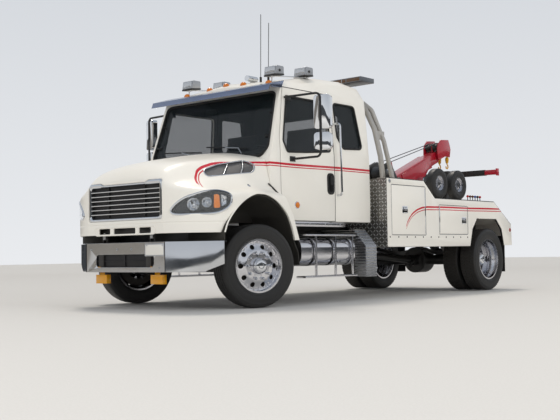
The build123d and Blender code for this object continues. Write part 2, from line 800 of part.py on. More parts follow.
def slanted_pane(outline_points, radius, x_low, x_high, depth):
    """Pane that fills a front opening, lying below the cab's outer face by a depth."""
    region = front_prism(outline_points, x_low, x_high, radius=radius)
    lean = [(x - depth, z) for x, z in windshield_line]
    back = [(x - glass_thickness, z) for x, z in reversed(lean)]
    slab = side_prism(lean + back, -1000, 1000)
    return region & slab


def windshield():
    """Laminated windshield."""
    return slanted_pane(windshield_outline(-seat_gap), 80 - seat_gap, -800, cab_front + 60, 12)


def pane(points, radius, depth):
    """Left side pane that follows the lean of the cab's side."""
    region = side_prism(points, cab_half_width - 200, cab_half_width + 60, radius=radius)
    return (region & cab_form(depth)) - cab_form(depth + glass_thickness)


def cab_glass():
    """Quarter windows and rear window."""
    quarters = pair(pane(quarter_window(-seat_gap), 60 - seat_gap, 12))
    back = front_prism(rear_window_outline(-seat_gap), cab_rear + 12, cab_rear + 12 + glass_thickness,
                       radius=60 - seat_gap)
    return Compound([*quarters, back])


def door():
    """Left door: the cab's wall inside the door outline, with its window cut."""
    region = side_prism(door_outline(0), cab_half_width - 62 - door_thickness + 2, cab_half_width + 60)
    region -= block(-2000, 0, 0, 2000, 0, cab_floor + 4)
    window = side_prism(side_window(0), cab_half_width - 180, cab_half_width + 80, radius=50)
    return (cab_outer() & region) - cab_form(door_thickness) - window


def mirror_frame():
    """Left mirror's tube frame with its two feet on the door."""
    x = -647
    tube = bent_bar([(-566, cab_half_width - 40, 2385), (x, 1440, 2395), (x, 1440, 1672),
                     (-660, cab_half_width - 4, 1672)], 13, 60)
    feet = [block(-690, -600, cab_half_width - 12 - lean, cab_half_width + 12 - lean, z - 30, z + 30)
            for z, lean in ((1672, 0), (2385, 52))]
    return joined([tube, *feet]) - cab_outer()


def mirror_heads():
    """Left mirror heads: the tall flat one and the round-faced one below it."""
    heads = []
    for low, high in ((1985, 2372), (1752, 1945)):
        heads.append(front_prism([(1340, low), (1540, low), (1540, high), (1340, high)], -735, -657,
                                 radius=40))
    turn = Pos(-700, 1440, 0) * Rot(0, 0, 20) * Pos(700, -1440, 0)
    return Compound([turn * head for head in heads])


def visor():
    """Bright sun visor over the windshield, on brackets."""
    blade = side_prism([(-560, 2574), (-320, 2502), (-292, 2440), (-286, 2442), (-312, 2508), (-558, 2581)],
                       -visor_half, visor_half)
    bracket = side_prism([(-560, 2574), (-320, 2502), (-340, 2480), (-515, 2490)], 0, 8)
    brackets = [Pos(0, y - 4, 0) * bracket for y in (-visor_half + 4, -330, 330, visor_half - 4)]
    return joined([blade, *brackets]) - cab_outer()


def roof_lamps():
    """Five amber marker lamps along the front of the roof."""
    roof = Pos(0, 0, seat_gap) * cab_outer()
    rows = (-pod_y + 10, -285, 0, 285, pod_y - 10)
    return Compound([Pos(-630, y, roof_z(-630, y) - 8) * Sphere(42) - roof for y in rows])


def rail_z(x):
    """Height of the roof rail's top."""
    return roof_rail_front_z + (roof_rail_front - x) * roof_rail_slope


def beacon_pods():
    """Two beacon pods on each roof rail."""
    pods = []
    for x in (roof_rail_front - 40, roof_rail_rear + 40):
        shape = [(x - 75, rail_z(x - 75) + seat_gap), (x + 75, rail_z(x + 75) + seat_gap),
                 (x + 60, rail_z(x) + pod_height), (x - 75, rail_z(x) + pod_height)]
        pods.append(side_prism(shape, pod_y - 90, pod_y + 90, radius=18))
    return Compound([side for pod in pods for side in pair(pod)])


def cab_rails():
    """Roof rails under the pods, the grab bar behind each door and the horn."""
    rail = rod((roof_rail_front + 30, pod_y, rail_z(roof_rail_front + 30) - 8),
               (roof_rail_rear - 30, pod_y, rail_z(roof_rail_rear - 30) - 8), 8)
    for x in (roof_rail_front, roof_rail_rear):
        rail += rod((x, pod_y, roof_z(x, pod_y) - 10), (x, pod_y, rail_z(x) - 8), 7)
    grab_y = cab_half_width + 75
    grab_x = door_rear - panel_gap - 22
    grab = bent_bar([(grab_x, cab_half_width - 60, 2155), (grab_x, grab_y, 2155),
                     (grab_x - 20, grab_y, 1281), (grab_x - 20, cab_half_width - 20, 1281)], 13, 40)
    horn_z = roof_z(-740, 285) + 52
    horn = rod((-860, 285, horn_z), (-690, 285, horn_z), 36) + block(-800, -760, 275, 295, horn_z - 120,
                                                                     horn_z)
    roof = cab_outer()
    return Compound([shape - roof for shape in (*pair(rail), *pair(grab), horn)])


def antennas():
    """Two whip antennas on the front of the roof."""
    roof = Pos(0, 0, seat_gap) * cab_outer()
    whips = []
    for x, tip in ((-760, (-775, 452, 3480)), (-900, (-915, 455, 3400))):
        top = roof_z(x, 450) + 60
        foot = rod((x, 450, top - 120), (x, 450, top), 14) - roof
        whips.append(foot + rod((x, 450, top - 1), tip, antenna_radius))
    return Compound(whips)


def dashboard():
    """Dash across the cab with the steering column."""
    front = cab_front - cab_wall - seat_gap
    dash = side_prism([(front, 1400), (front, 1640), (front - 50, 1775), (-420, 1800), (-600, 1770),
                       (-640, 1640), (-560, 1400)], -cab_half_width + 110, cab_half_width - 110)
    column = rod((-560, 520, 1560), (-760, 520, 1690), 34)
    return dash + column


def steering_wheel():
    """Steering wheel with three spokes."""
    hub = Plane(origin=(-760, 520, 1690), z_dir=(-200, 0, 130))
    rim = Torus(215, 15)
    spokes = [Rot(0, 0, a) * Pos(105, 0, 0) * Box(210, 34, 10) for a in (90, 210, 330)]
    return hub * joined([rim, *spokes, Cylinder(48, 30)])


def seat(y):
    """High-backed seat as one soft solid on the floor."""
    floor = cab_floor + cab_wall + seat_gap
    side = [(-860, floor), (-860, 1390), (-840, 1480), (-1330, 1450), (-1400, 1900), (-1440, 2150),
            (-1540, 2150),
            (-1540, 1500), (-1500, 1300), (-1480, floor)]
    return side_prism(side, y - 255, y + 255, radius=25)


def bench():
    """Rear bench across the back of the cab."""
    floor = cab_floor + cab_wall + seat_gap
    back = cab_rear + cab_wall + 6
    side = [(back, floor), (back, 1950), (back + 110, 1950), (back + 170, 1450), (back + 430, 1470),
            (back + 430, floor)]
    return side_prism(side, -880, 880, radius=25)


# Body

arch_half_low = 507
arch_half_high = 290
body_arch_z = 1045


def body_outline():
    """Side outline of the wrecker body with its wheel arch."""
    return [
        (body_front, body_low), (body_front, shoulder_z), (-3170, shoulder_z), (-3450, deck_z),
        (tail_rear + 537, deck_z), (tail_rear + 17, 974), (tail_rear, 660), (rear_axle - 468, 660),
        (rear_axle - 400, 900), (rear_axle - 237, body_arch_z), (rear_axle + 338, body_arch_z),
        (rear_axle + 470, 900), (rear_axle + 545, body_low),
    ]


locker_doors = (
    ("front", -3202, -2400, 805, 1443, -3202, 1),
    ("middle", -4320, -3555, 820, 1212, -3555, -1),
)


def locker_space(low_x, high_x, low_z, high_z):
    """Recess for a locker door, and the smaller space behind its lip."""
    back = body_half_width - locker_door_thickness - seat_gap
    gap = locker_gap
    recess = block(low_x - gap, high_x + gap, back, body_half_width + 50, low_z - gap, high_z + gap)
    lip = locker_lip
    space = block(low_x + lip, high_x - lip, body_inner_y + body_skin, back + 1, low_z + lip, high_z - lip)
    return recess + space


def body_side():
    """Left side of the wrecker body: lockers ahead of the wheel, a hollow fender over it."""
    shell = side_prism(body_outline(), body_inner_y, body_half_width)
    for _, low_x, high_x, low_z, high_z, _, _ in locker_doors:
        shell -= locker_space(low_x, high_x, low_z, high_z)
    hollow = [(rear_axle + 520, body_low - 40), (rear_axle + 520, deck_z - body_skin),
              (tail_rear + 530, deck_z - body_skin), (tail_rear + 45, 985), (tail_rear + 28, body_low - 40)]
    shell -= side_prism(hollow, body_inner_y - 10, body_half_width - body_skin)
    return shell


def locker_door(low_x, high_x, low_z, high_z):
    """One flush locker door."""
    return block(low_x, high_x, body_half_width - locker_door_thickness, body_half_width, low_z, high_z)


def bulkhead():
    """Tread-plate bulkhead across the front of the body."""
    half = body_half_width
    profile = [(-half, body_low), (-body_inner_y, body_low), (-body_inner_y, rail_top + 10),
               (body_inner_y, rail_top + 10), (body_inner_y, body_low), (half, body_low), (half, shoulder_z),
               (-half, shoulder_z)]
    return front_prism(profile, body_front, body_front + bulkhead_thickness)


def deck():
    """Deck between the sides, on cross bearers, with the tail panel."""
    rear = tail_rear
    plate = block(rear, body_front, -body_inner_y, body_inner_y, centre_deck_z - deck_plate, centre_deck_z)
    bearers = [block(x - 40, x + 40, -body_inner_y, body_inner_y, rail_top, centre_deck_z - deck_plate)
               for x in (body_front - 60, -3200, -4000, rear_axle + 200, rear_axle - 400)]
    return joined([plate, *bearers])


def pylon():
    """Two tube hoops behind the cab that lean inwards and carry the light bar."""
    hoop_x = body_front - 46
    side = [(1112, shoulder_z + 9), (1083, 1810), (996, 2170), (857, 2446), (560, 2760)]
    hoop = [(hoop_x, y, z) for y, z in side] + [(hoop_x, -y, z) for y, z in reversed(side)]
    rear = [(body_front - 266, 1112, shoulder_z + 9), (body_front - 190, 1040, 2020),
            (body_front - 110, 912, 2430),
            (body_front - 60, 774, 2560)]
    stay = bent_bar(rear, 30, 90)
    gusset = block(body_front - 230, body_front - 40, 1010, 1022, 2040, 2150)
    feet = [block(x - 60, x + 60, 1050, 1170, shoulder_z, shoulder_z + 10) for x in (body_front - 62,
                                                                                     body_front - 266)]
    return joined([bent_bar(hoop, 34, 90), *pair(joined([stay, gusset, *feet]))])


def light_bar():
    """Light bar across the top of the pylon."""
    x = body_front - 46
    return block(x - 150, x + 150, -900, 900, 2760 + 34 + seat_gap, 2854)


def tail_lamps():
    """Three round lamps on the tail of each body side."""
    tail = side_prism(body_outline(), 0, body_half_width)
    rows = [body_half_width - inset for inset in (390, 260, 130)]
    lamps = [rod((tail_rear + 20, y, 815), (tail_rear - 14, y, 815), 50) - tail for y in rows]
    return Compound([side for lamp in lamps for side in pair(lamp)])


def control_levers():
    """Row of control levers on each side of the deck."""
    base = block(-4900, -4470, 1060, 1150, deck_z, deck_z + 14)
    levers = []
    for index in range(6):
        x = -4505 - 72 * index
        levers += [rod((x, 1105, deck_z + 10), (x, 1105, deck_z + 60), 6),
                   Pos(x, 1105, deck_z + 72) * Sphere(17)]
    return joined(pair(joined([base, *levers])))


def mud_flaps():
    """Mud flaps behind the rear wheels."""
    x = rear_axle - 530
    return Compound(pair(block(x - 10, x, 620, body_half_width - body_skin - seat_gap, 260, 800)))


# Boom, drawn along its own axis: u from the pivot, v square to it

def boom_frame(angle):
    """Plane of the boom at one angle."""
    lean = math.radians(angle)
    return Plane(origin=(boom_pivot_x, 0, boom_pivot_z), x_dir=(-math.cos(lean), 0, math.sin(lean)),
                 z_dir=(0, 1, 0))


def boom_prism(points, y_low, y_high, radius=0):
    """Solid with a (u, v) outline on the boom, between two y places."""
    return extrude(boom_frame(boom_angle).offset(y_low) * outline(points, radius), amount=y_high - y_low)


def boom_point(u, v, y=0):
    """Place of a point of the boom."""
    lean = math.radians(boom_angle)
    return (boom_pivot_x - u * math.cos(lean) + v * math.sin(lean), y,
            boom_pivot_z + u * math.sin(lean) + v * math.cos(lean))


def rectangle(u_low, u_high, v_low, v_high):
    """Corners of a rectangle."""
    return [(u_low, v_low), (u_high, v_low), (u_high, v_high), (u_low, v_high)]


def boom_stand():
    """Stand on the frame that carries the boom pivot and the cylinder feet."""
    z = centre_deck_z
    cheek = side_prism([(boom_pivot_x + 200, z), (boom_pivot_x + 70, boom_pivot_z + 70),
                        (boom_pivot_x - 70, boom_pivot_z + 70), (boom_pivot_x - 260, z)], 0, 24)
    cheeks = [Pos(0, s * (boom_width / 2 + running_gap + 12) - 12, 0) * cheek for s in (-1, 1)]
    pivot = rod((boom_pivot_x, -boom_width / 2 - 40, boom_pivot_z),
                (boom_pivot_x, boom_width / 2 + 40, boom_pivot_z),
                pin_radius)
    foot_x, foot_z = cylinder_foot
    ears = []
    for side in (-1, 1):
        for offset in (-50, 50):
            y = side * cylinder_y + offset
            ears.append(side_prism([(foot_x + 110, z), (foot_x + 50, foot_z + 50), (foot_x - 50, foot_z + 50),
                                    (foot_x - 110, z)], y - 8, y + 8))
        ears.append(rod((foot_x, side * cylinder_y - 58, foot_z), (foot_x, side * cylinder_y + 58, foot_z),
                        pin_radius))
    return joined([*cheeks, pivot, *ears])


def boom():
    """Outer boom: box tube with side plates, pivot bore and winch seat."""
    half = boom_width / 2
    low, high = -boom_height / 2, boom_height / 2
    tube = boom_prism(rectangle(60, boom_length, low, high), -half, half)
    root = boom_prism([(-80, -70), (60, low), (60, high), (-80, 70)], -half, half)
    bore = boom_prism(rectangle(200, boom_length + 10, low + boom_wall, high - boom_wall),
                      -half + boom_wall, half - boom_wall)
    pin_hole = rod((boom_pivot_x, -half - 20, boom_pivot_z), (boom_pivot_x, half + 20, boom_pivot_z),
                   pin_radius + pin_gap)
    top_u, top_v = cylinder_top
    plate_points = [(top_u - 410, low), (top_u - 60, top_v - 60), (top_u + 80, top_v - 60),
                    (top_u + 320, low),
                    (top_u + 320, high - 20), (top_u - 410, high - 20)]
    plates = [boom_prism(plate_points, s * (half + 6) - 6, s * (half + 6) + 6) for s in (-1, 1)]
    return joined([tube, root, *plates]) - bore - pin_hole


def winches():
    """Two winches side by side on the boom's root."""
    base = boom_prism(rectangle(330, 900, boom_height / 2, boom_height / 2 + 20), -260, 260)
    pieces = [base]
    for y in (-240, -20, 20, 240):
        pieces.append(boom_prism([(380, boom_height / 2 + 20), (850, boom_height / 2 + 20), (760, 420),
                                  (470, 420)],
                                 y - 8, y + 8))
    for side in (-1, 1):
        low, high = (28, 232) if side > 0 else (-232, -28)
        centre_low = boom_point(615, 280, low)
        centre_high = boom_point(615, 280, high)
        pieces.append(rod(centre_low, centre_high, 95))
    return joined(pieces)


def boom_inner():
    """Extension tube with the forked head."""
    half = boom_width / 2 - boom_wall - 5
    low, high = -boom_height / 2 + boom_wall + 5, boom_height / 2 - boom_wall - 5
    start = boom_length - boom_extension - boom_overlap
    tip = boom_length + 230
    tube = boom_prism(rectangle(start, tip + 30, low, high), -half, half)
    tube -= boom_prism(rectangle(start - 10, tip + 40, low + 10, high - 10), -half + 10, half - 10)
    reach = running_gap - 1 - seat_gap
    pads = [boom_prism(rectangle(start + 40, start + 160, low - reach, low), -half + 20, half - 20),
            boom_prism(rectangle(start + 40, start + 160, high, high + reach), -half + 20, half - 20)]
    cheek = [(-40, -40), (-30, 60), (5, 150), (50, 200), (150, 240), (370, 172), (380, 70), (375, 5),
             (300, -100), (180, -45)]
    cheek = [(tip + u, v) for u, v in cheek]
    cheeks = [boom_prism(cheek, s * (head_width / 2 - 8) - 8, s * (head_width / 2 - 8) + 8) for s in (-1, 1)]
    packing_y = (half + head_width / 2 - 8) / 2
    packing = [boom_prism(rectangle(tip - 24, tip + 26, -35, 60), s * packing_y - 18, s * packing_y + 18)
               for s in (-1, 1)]
    web = [(20, 20), (50, 170), (150, 205), (350, 140), (360, 20), (300, -60), (180, -20)]
    middle = boom_prism([(tip + u, v) for u, v in web], -8, 8)
    pins = [rod(boom_point(u, v, -head_width / 2), boom_point(u, v, head_width / 2), sheave_pin_radius)
            for u, v in sheave_places]
    return joined([tube, *cheeks, *packing, middle, *pins, *pads])


def sheaves():
    """Two grooved sheaves at the front of the head and two at its rear."""
    half = (head_width / 2 - 16 - 8) / 2 - 3
    flank = half - 14
    groove = sheave_radius - 22
    bore = sheave_pin_radius + pin_gap
    profile = [(bore, -half), (sheave_radius, -half), (sheave_radius, -flank), (groove, -12), (groove, 12),
               (sheave_radius, flank), (sheave_radius, half), (bore, half)]
    wheel = revolve(outline(profile), axis=Axis.Y)
    y = 8 + (head_width / 2 - 16 - 8) / 2
    return Compound([Pos(*boom_point(u, v, s * y)) * wheel for u, v in sheave_places for s in (-1, 1)])


def lift_cylinders():
    """Barrels and rods of the two boom cylinders."""
    top = boom_point(*cylinder_top)
    foot = (cylinder_foot[0], 0, cylinder_foot[1])
    run = Vector(*top) - Vector(*foot)
    reach = run.length
    along = run.normalized()

    def at(distance, y):
        point = Vector(*foot) + along * distance
        return (point.X, y, point.Z)

    barrels, rods = [], []
    for side in (-1, 1):
        y = side * cylinder_y
        eye = rod((foot[0], y - 36, foot[2]), (foot[0], y + 36, foot[2]), 55)
        eye_hole = rod((foot[0], y - 60, foot[2]), (foot[0], y + 60, foot[2]), pin_radius + pin_gap)
        body = rod(at(100, y), at(reach - 150, y), cylinder_radius)
        neck = rod(at(0, y), at(101, y), 36)
        bore = rod(at(130, y), at(reach, y), rod_radius + pin_gap)
        barrels.append(eye + neck + body - eye_hole - bore)
        head = rod((top[0], y - 32, top[2]), (top[0], y + 32, top[2]), 48)
        pin = rod((top[0], side * (boom_width / 2 + 15), top[2]), (top[0], y + side * 40, top[2]), pin_radius)
        rods.append(rod(at(135, y), at(reach - 30, y), rod_radius) + head + pin)
    return Compound(barrels), Compound(rods)


# Underlift

def lift_bracket():
    """Tail bracket with the underlift's pivot."""
    cheeks = [side_prism([(rear_axle - tail_length + 200, 640), (rear_axle - tail_length + 200, 900),
                          (lift_pivot_x - 30, 700), (lift_pivot_x - 60, lift_pivot_z - 60),
                          (lift_pivot_x + 40, lift_pivot_z - 60)], y - 10, y + 10)
              for y in (-100, 100)]
    beam = block(rear_axle - tail_length + 40, rear_axle - tail_length + 160, -rail_outer_y + rail_wall,
                 rail_outer_y - rail_wall, 700, 860)
    pin = rod((lift_pivot_x, -110, lift_pivot_z), (lift_pivot_x, 110, lift_pivot_z), pin_radius)
    return joined([*cheeks, beam, pin])


def stinger():
    """Folded outer stinger with its pivot lug."""
    half = stinger_width / 2
    tube = block(stinger_x - half, stinger_x + half, -half, half, lift_pivot_z - 60, stinger_top)
    tube -= block(stinger_x - half + stinger_wall, stinger_x + half - stinger_wall, -half + stinger_wall,
                  half - stinger_wall, lift_pivot_z + 60, stinger_top + 10)
    lug = block(stinger_x + half, lift_pivot_x + 50, -80, 80, lift_pivot_z - 50, lift_pivot_z + 50)
    hole = rod((lift_pivot_x, -100, lift_pivot_z), (lift_pivot_x, 100, lift_pivot_z), pin_radius + pin_gap)
    return tube + lug - hole


def stinger_inner():
    """Inner stinger with the crossbar pivot."""
    half = stinger_width / 2 - stinger_wall - 5
    low = stinger_top - stinger_reach - stinger_overlap
    bar = block(stinger_x - half, stinger_x + half, -half, half, low, crossbar_z + 60)
    pin = rod((rear_axle - rear_overhang, 0, crossbar_z), (stinger_x, 0, crossbar_z), 26)
    reach = running_gap - 1 - seat_gap
    pad = block(stinger_x - half - reach, stinger_x + half + reach, -half + 15, half - 15, low + 10,
                low + 100)
    return joined([bar, pin, pad])


def crossbar():
    """Crossbar with its sliding ends and end plates."""
    half = stinger_width / 2 - stinger_wall - 5
    front = stinger_x - half - 4
    rear = front - 76
    z_low, z_high = crossbar_z - crossbar_height / 2, crossbar_z + crossbar_height / 2
    bar = block(rear, front, -650, 650, z_low, z_high)
    ends = [block(rear + 6, front - 6, *span, z_low + 6, z_high - 6)
            for span in ((-crossbar_half + 8, -640), (640, crossbar_half - 8))]
    plates = [block(rear, front, y - 8, y + 8, z_low - 12, z_high + 12) for y in (-crossbar_half + 8,
                                                                                  crossbar_half - 8)]
    hole = rod((front + 20, 0, crossbar_z), (rear - 20, 0, crossbar_z), 26 + pin_gap)
    return joined([bar, *ends, *plates]) - hole


# Dolly wheels

def dolly_wheel(x):
    """Small tyre and its rim with spokes."""
    y = dolly_outer_y - dolly_width / 2
    rubber = tyre(dolly_radius, dolly_width, dolly_bead_radius, dolly_bead_radius, 0)
    bore = dolly_spindle_radius + pin_gap
    seat = dolly_bead_radius - seat_gap
    wall = seat - 12
    half = dolly_width * 0.4
    outer = [(bore, -30), (60, -30), (60, 8), (wall, 8), (wall, -half), (seat, -half), (seat, half),
             (wall, half), (wall, 20), (60, 20), (60, 34), (bore, 34)]
    place = Pos(x, y, deck_z + dolly_radius + 10)
    return place * rubber, place * revolve(outline(outer), axis=Axis.Y)


def dolly_racks():
    """Spindles and brackets that hold the dolly wheels on the body sides."""
    pieces = []
    z = deck_z + dolly_radius + 10
    y_wheel = dolly_outer_y - dolly_width / 2
    for x in dolly_places:
        pieces.append(block(x - 40, x + 40, 890, 940, deck_z, z + 40))
        pieces.append(rod((x, 900, z), (x, y_wheel + 34, z), dolly_spindle_radius))
    pieces.append(block(dolly_places[1] - 60, dolly_places[0] + 60, 850, 960, deck_z, deck_z + 12))
    return joined(pair(joined(pieces)))


# Write every piece

front_tyre, front_rim = front_wheel()
rear_tyres, rear_rim = rear_wheel()
for side, word in ((1, "left"), (-1, "right")):
    about = [shape if side > 0 else mirror(shape, about=Plane.XZ) for shape in (front_tyre, front_rim,
                                                                                knuckle())]
    for name, shape in zip(("tyre_front", "rim_front", "knuckle"), about):
        save(f"{name}_{word}", steered(shape, side))
for angle, word in ((0, "left"), (180, "right")):
    turned = Pos(rear_axle, 0, axle_height) * Rot(0, 0, angle)
    save(f"tyres_rear_{word}", turned * rear_tyres)
    save(f"rim_rear_{word}", turned * rear_rim)

save("frame", joined([rails(), lift_bracket()]))
save("front_bumper", bumper())
save("front_axle", joined([front_axle(), leaf_springs(0, 600, axle_height + 20)]))
save("rear_axle", joined([rear_axle_housing(), leaf_springs(rear_axle, 620, axle_height + 75), driveline()]))
save("engine", Compound([engine(), radiator()]))
save("fuel_tanks", joined(pair(fuel_tank())))
save("bright_steps", joined([*pair(cab_steps()), *pair(step_box()), *pair(sill_strip())]))

save("hood", hood())
save("headlamps", headlamps())
save("grille", grille())
save("hood_screens", joined([grille_core(), side_vents()]))
save("arch_liners", arch_liners())

save("cab", cab())
save("cab_glass", Compound([windshield(), cab_glass()]))
save_sides("door", door())
save_sides("door_glass", pane(side_window(-seat_gap), 50 - seat_gap, 12))
save_sides("mirror", joined([mirror_frame(), mirror_heads()]))
save("visor", visor())
save("dashboard", joined([dashboard(), steering_wheel()]))
save("seats", Compound([seat(520), seat(-520), bench()]))
save("antennas", antennas())
save("cab_rails", cab_rails())

save_sides("body_side", body_side())
for name, low_x, high_x, low_z, high_z, _, _ in locker_doors:
    save_sides(f"locker_door_{name}", locker_door(low_x, high_x, low_z, high_z))
save("bulkhead", bulkhead())
save("deck", deck())
save("pylon", pylon())
save("lamps", Compound([roof_lamps(), beacon_pods(), light_bar(), fog_lamps(), tail_lamps()]))
save("deck_fittings", Compound([control_levers(), dolly_racks(), mud_flaps()]))

save("boom_stand", boom_stand())
save("boom", boom())
save("winches", winches())
save("boom_inner", boom_inner())
save("sheaves", sheaves())
barrels, rods = lift_cylinders()
save("cylinder_barrels", barrels)
save("cylinder_rods", rods)

save("stinger", stinger())
save("stinger_inner", stinger_inner())
save("crossbar", crossbar())

for place, x in zip(("front", "rear"), dolly_places):
    save_sides(f"dolly_wheel_{place}", Compound(list(dolly_wheel(x))))
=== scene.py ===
import json
import math

import bmesh
import bpy
from mathutils import Matrix, Vector
from mathutils.bvhtree import BVHTree

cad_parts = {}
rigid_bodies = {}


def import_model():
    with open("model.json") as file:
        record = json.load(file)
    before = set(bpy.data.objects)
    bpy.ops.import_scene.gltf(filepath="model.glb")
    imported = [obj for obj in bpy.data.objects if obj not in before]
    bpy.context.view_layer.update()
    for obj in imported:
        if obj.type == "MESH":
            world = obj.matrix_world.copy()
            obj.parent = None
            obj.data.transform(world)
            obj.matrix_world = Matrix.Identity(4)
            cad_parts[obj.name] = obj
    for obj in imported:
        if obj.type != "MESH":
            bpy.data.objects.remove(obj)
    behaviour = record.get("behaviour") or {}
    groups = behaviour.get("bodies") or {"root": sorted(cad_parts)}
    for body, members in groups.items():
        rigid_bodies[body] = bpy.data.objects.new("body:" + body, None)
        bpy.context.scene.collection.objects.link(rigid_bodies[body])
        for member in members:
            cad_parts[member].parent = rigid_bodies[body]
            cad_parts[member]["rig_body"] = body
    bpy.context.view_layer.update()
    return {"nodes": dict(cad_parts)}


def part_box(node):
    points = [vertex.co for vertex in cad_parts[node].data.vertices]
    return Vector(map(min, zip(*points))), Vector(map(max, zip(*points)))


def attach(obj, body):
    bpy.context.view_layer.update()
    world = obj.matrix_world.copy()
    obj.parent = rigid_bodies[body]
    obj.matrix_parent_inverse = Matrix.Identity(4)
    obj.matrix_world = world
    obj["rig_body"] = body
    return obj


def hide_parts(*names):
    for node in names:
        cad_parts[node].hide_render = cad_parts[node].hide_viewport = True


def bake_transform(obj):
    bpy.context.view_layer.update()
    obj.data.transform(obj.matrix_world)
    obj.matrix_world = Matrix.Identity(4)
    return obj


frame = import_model()

# Studio: a large matt floor of pale grey vinyl, an even pale surround, one wide soft sun
# and two softboxes, with the camera low at the front left, as the photograph was taken.


def linear(colour):
    """An sRGB hex colour as linear RGBA."""
    shares = [int(colour[i:i + 2], 16) / 255 for i in (1, 3, 5)]
    return tuple(s / 12.92 if s <= 0.04045 else ((s + 0.055) / 1.055) ** 2.4 for s in shares) + (1.0,)


def add(tree, kind, inputs=(), **settings):
    """Adds a node; its inputs are values, other nodes' sockets, or nodes, which give their first output."""
    made = tree.nodes.new(kind)
    for name, value in settings.items():
        setattr(made, name, value)
    for socket, value in dict(inputs).items():
        value = value.outputs[0] if isinstance(value, bpy.types.Node) else value
        if isinstance(value, bpy.types.NodeSocket):
            tree.links.new(value, made.inputs[socket])
        else:
            made.inputs[socket].default_value = value
    return made


def linked(name, data):
    """An object of some data, put in the scene."""
    made = bpy.data.objects.new(name, data)
    bpy.context.scene.collection.objects.link(made)
    return made


world = bpy.data.worlds.new("pale_surround")
bpy.context.scene.world = world
world.use_nodes = True
sky = world.node_tree
sky.nodes.clear()
lift = add(sky, "ShaderNodeSeparateXYZ", {0: add(sky, "ShaderNodeTexCoord").outputs["Generated"]})
fade = add(sky, "ShaderNodeValToRGB", {0: lift.outputs["Z"]})
fade.color_ramp.elements[0].color = linear("#e9ebee")
fade.color_ramp.elements[1].color = linear("#aab2bd")
fade.color_ramp.elements[1].position = 0.75
shown = add(sky, "ShaderNodeBackground", {0: fade, 1: 1.0})
lighting = add(sky, "ShaderNodeBackground", {0: linear("#f4f6fa"), 1: 0.62})
path = add(sky, "ShaderNodeLightPath")
seen = add(sky, "ShaderNodeMath", {0: path.outputs["Is Camera Ray"], 1: path.outputs["Is Glossy Ray"]},
           operation="ADD")
seen = add(sky, "ShaderNodeMath", {0: seen, 1: path.outputs["Is Transmission Ray"]}, operation="ADD",
           use_clamp=True)
both_skies = add(sky, "ShaderNodeMixShader", {0: seen, 1: lighting, 2: shown})
add(sky, "ShaderNodeOutputWorld", {0: both_skies})

# Matt floor vinyl: pale grey with a faint speckle, so that it shows the shadow and no shine
vinyl = bpy.data.materials.new("matt_floor_vinyl")
vinyl.use_nodes = True
shader = vinyl.node_tree.nodes["Principled BSDF"]
speckle = add(vinyl.node_tree, "ShaderNodeTexNoise",
              {"Vector": add(vinyl.node_tree, "ShaderNodeTexCoord").outputs["Object"], "Scale": 90.0})
tone = add(vinyl.node_tree, "ShaderNodeMix", {0: speckle, 6: linear("#c6c5c2"), 7: linear("#d2d1ce")},
           data_type="RGBA")
vinyl.node_tree.links.new(tone.outputs[2], shader.inputs["Base Color"])
shader.inputs["Roughness"].default_value = 0.85
ground = bpy.data.meshes.new("studio_floor")
ground.from_pydata([(-60, -60, 0), (60, -60, 0), (60, 60, 0), (-60, 60, 0)], [], [(0, 1, 2, 3)])
ground.transform(Matrix.Translation((0, 0, -0.002)))
ground.materials.append(vinyl)
floor = linked("studio_floor", ground)

sun = bpy.data.lights.new("wide_sun", "SUN")
sun.energy = 1.5
sun.angle = math.radians(14)
sun.color = linear("#fff6ea")[:3]
linked("wide_sun", sun).rotation_euler = Vector((-0.45, -0.55, 1.45)).to_track_quat("Z", "Y").to_euler()
for name, place, aim, size, power in (("front_box", (17.0, 3.5, 6.0), (1.5, 0, 1.0), 8.0, 560),
                                      ("side_box", (0.5, 18.0, 7.5), (0, 0, 1.0), 11.0, 900)):
    light = bpy.data.lights.new(name, "AREA")
    light.size, light.energy = size, power
    lamp = linked(name, light)
    lamp.location = place
    lamp.rotation_euler = (Vector(place) - Vector(aim)).to_track_quat("Z", "Y").to_euler()
    lamp.visible_glossy = False

# A dark screen all round, seen only in gloss, as a studio sets one up to draw a horizon in chrome
screen_radius, screen_low, screen_high, screen_sides = 22, 0.1, 3.4, 64
screen = bpy.data.meshes.new("gloss_screen")
turns = [2 * math.pi * i / screen_sides for i in range(screen_sides)]
ring = [(screen_radius * math.cos(a), screen_radius * math.sin(a)) for a in turns]
screen.from_pydata([(x, y, z) for z in (screen_low, screen_high) for x, y in ring], [],
                   [(i, (i + 1) % screen_sides, (i + 1) % screen_sides + screen_sides, i + screen_sides)
                    for i in range(screen_sides)])
# Dark studio felt: a soft dark band with cloudy wool tones, pale sand cloth where the bumper mirrors it
felt = bpy.data.materials.new("dark_studio_felt")
felt.use_nodes = True
where = add(felt.node_tree, "ShaderNodeTexCoord").outputs["Object"]
weave = add(felt.node_tree, "ShaderNodeTexNoise", {"Vector": where, "Scale": 3.0})
tone = add(felt.node_tree, "ShaderNodeMix", {0: weave, 6: linear("#24272b"), 7: linear("#4c5157")},
           data_type="RGBA")
quarter = add(felt.node_tree, "ShaderNodeVectorMath", {0: where, 1: (0.65, -0.76, 0)},
              operation="DOT_PRODUCT")
pale = add(felt.node_tree, "ShaderNodeMapRange", {0: quarter.outputs["Value"], 1: 15.0, 2: 20.0})
tone = add(felt.node_tree, "ShaderNodeMix", {0: pale, 6: tone.outputs[2], 7: linear("#b3aca1")},
           data_type="RGBA")
felt.node_tree.links.new(tone.outputs[2], felt.node_tree.nodes["Principled BSDF"].inputs["Base Color"])
screen.materials.append(felt)
screen = linked("gloss_screen", screen)
for kind in ("camera", "diffuse", "transmission", "shadow"):
    setattr(screen, f"visible_{kind}", False)

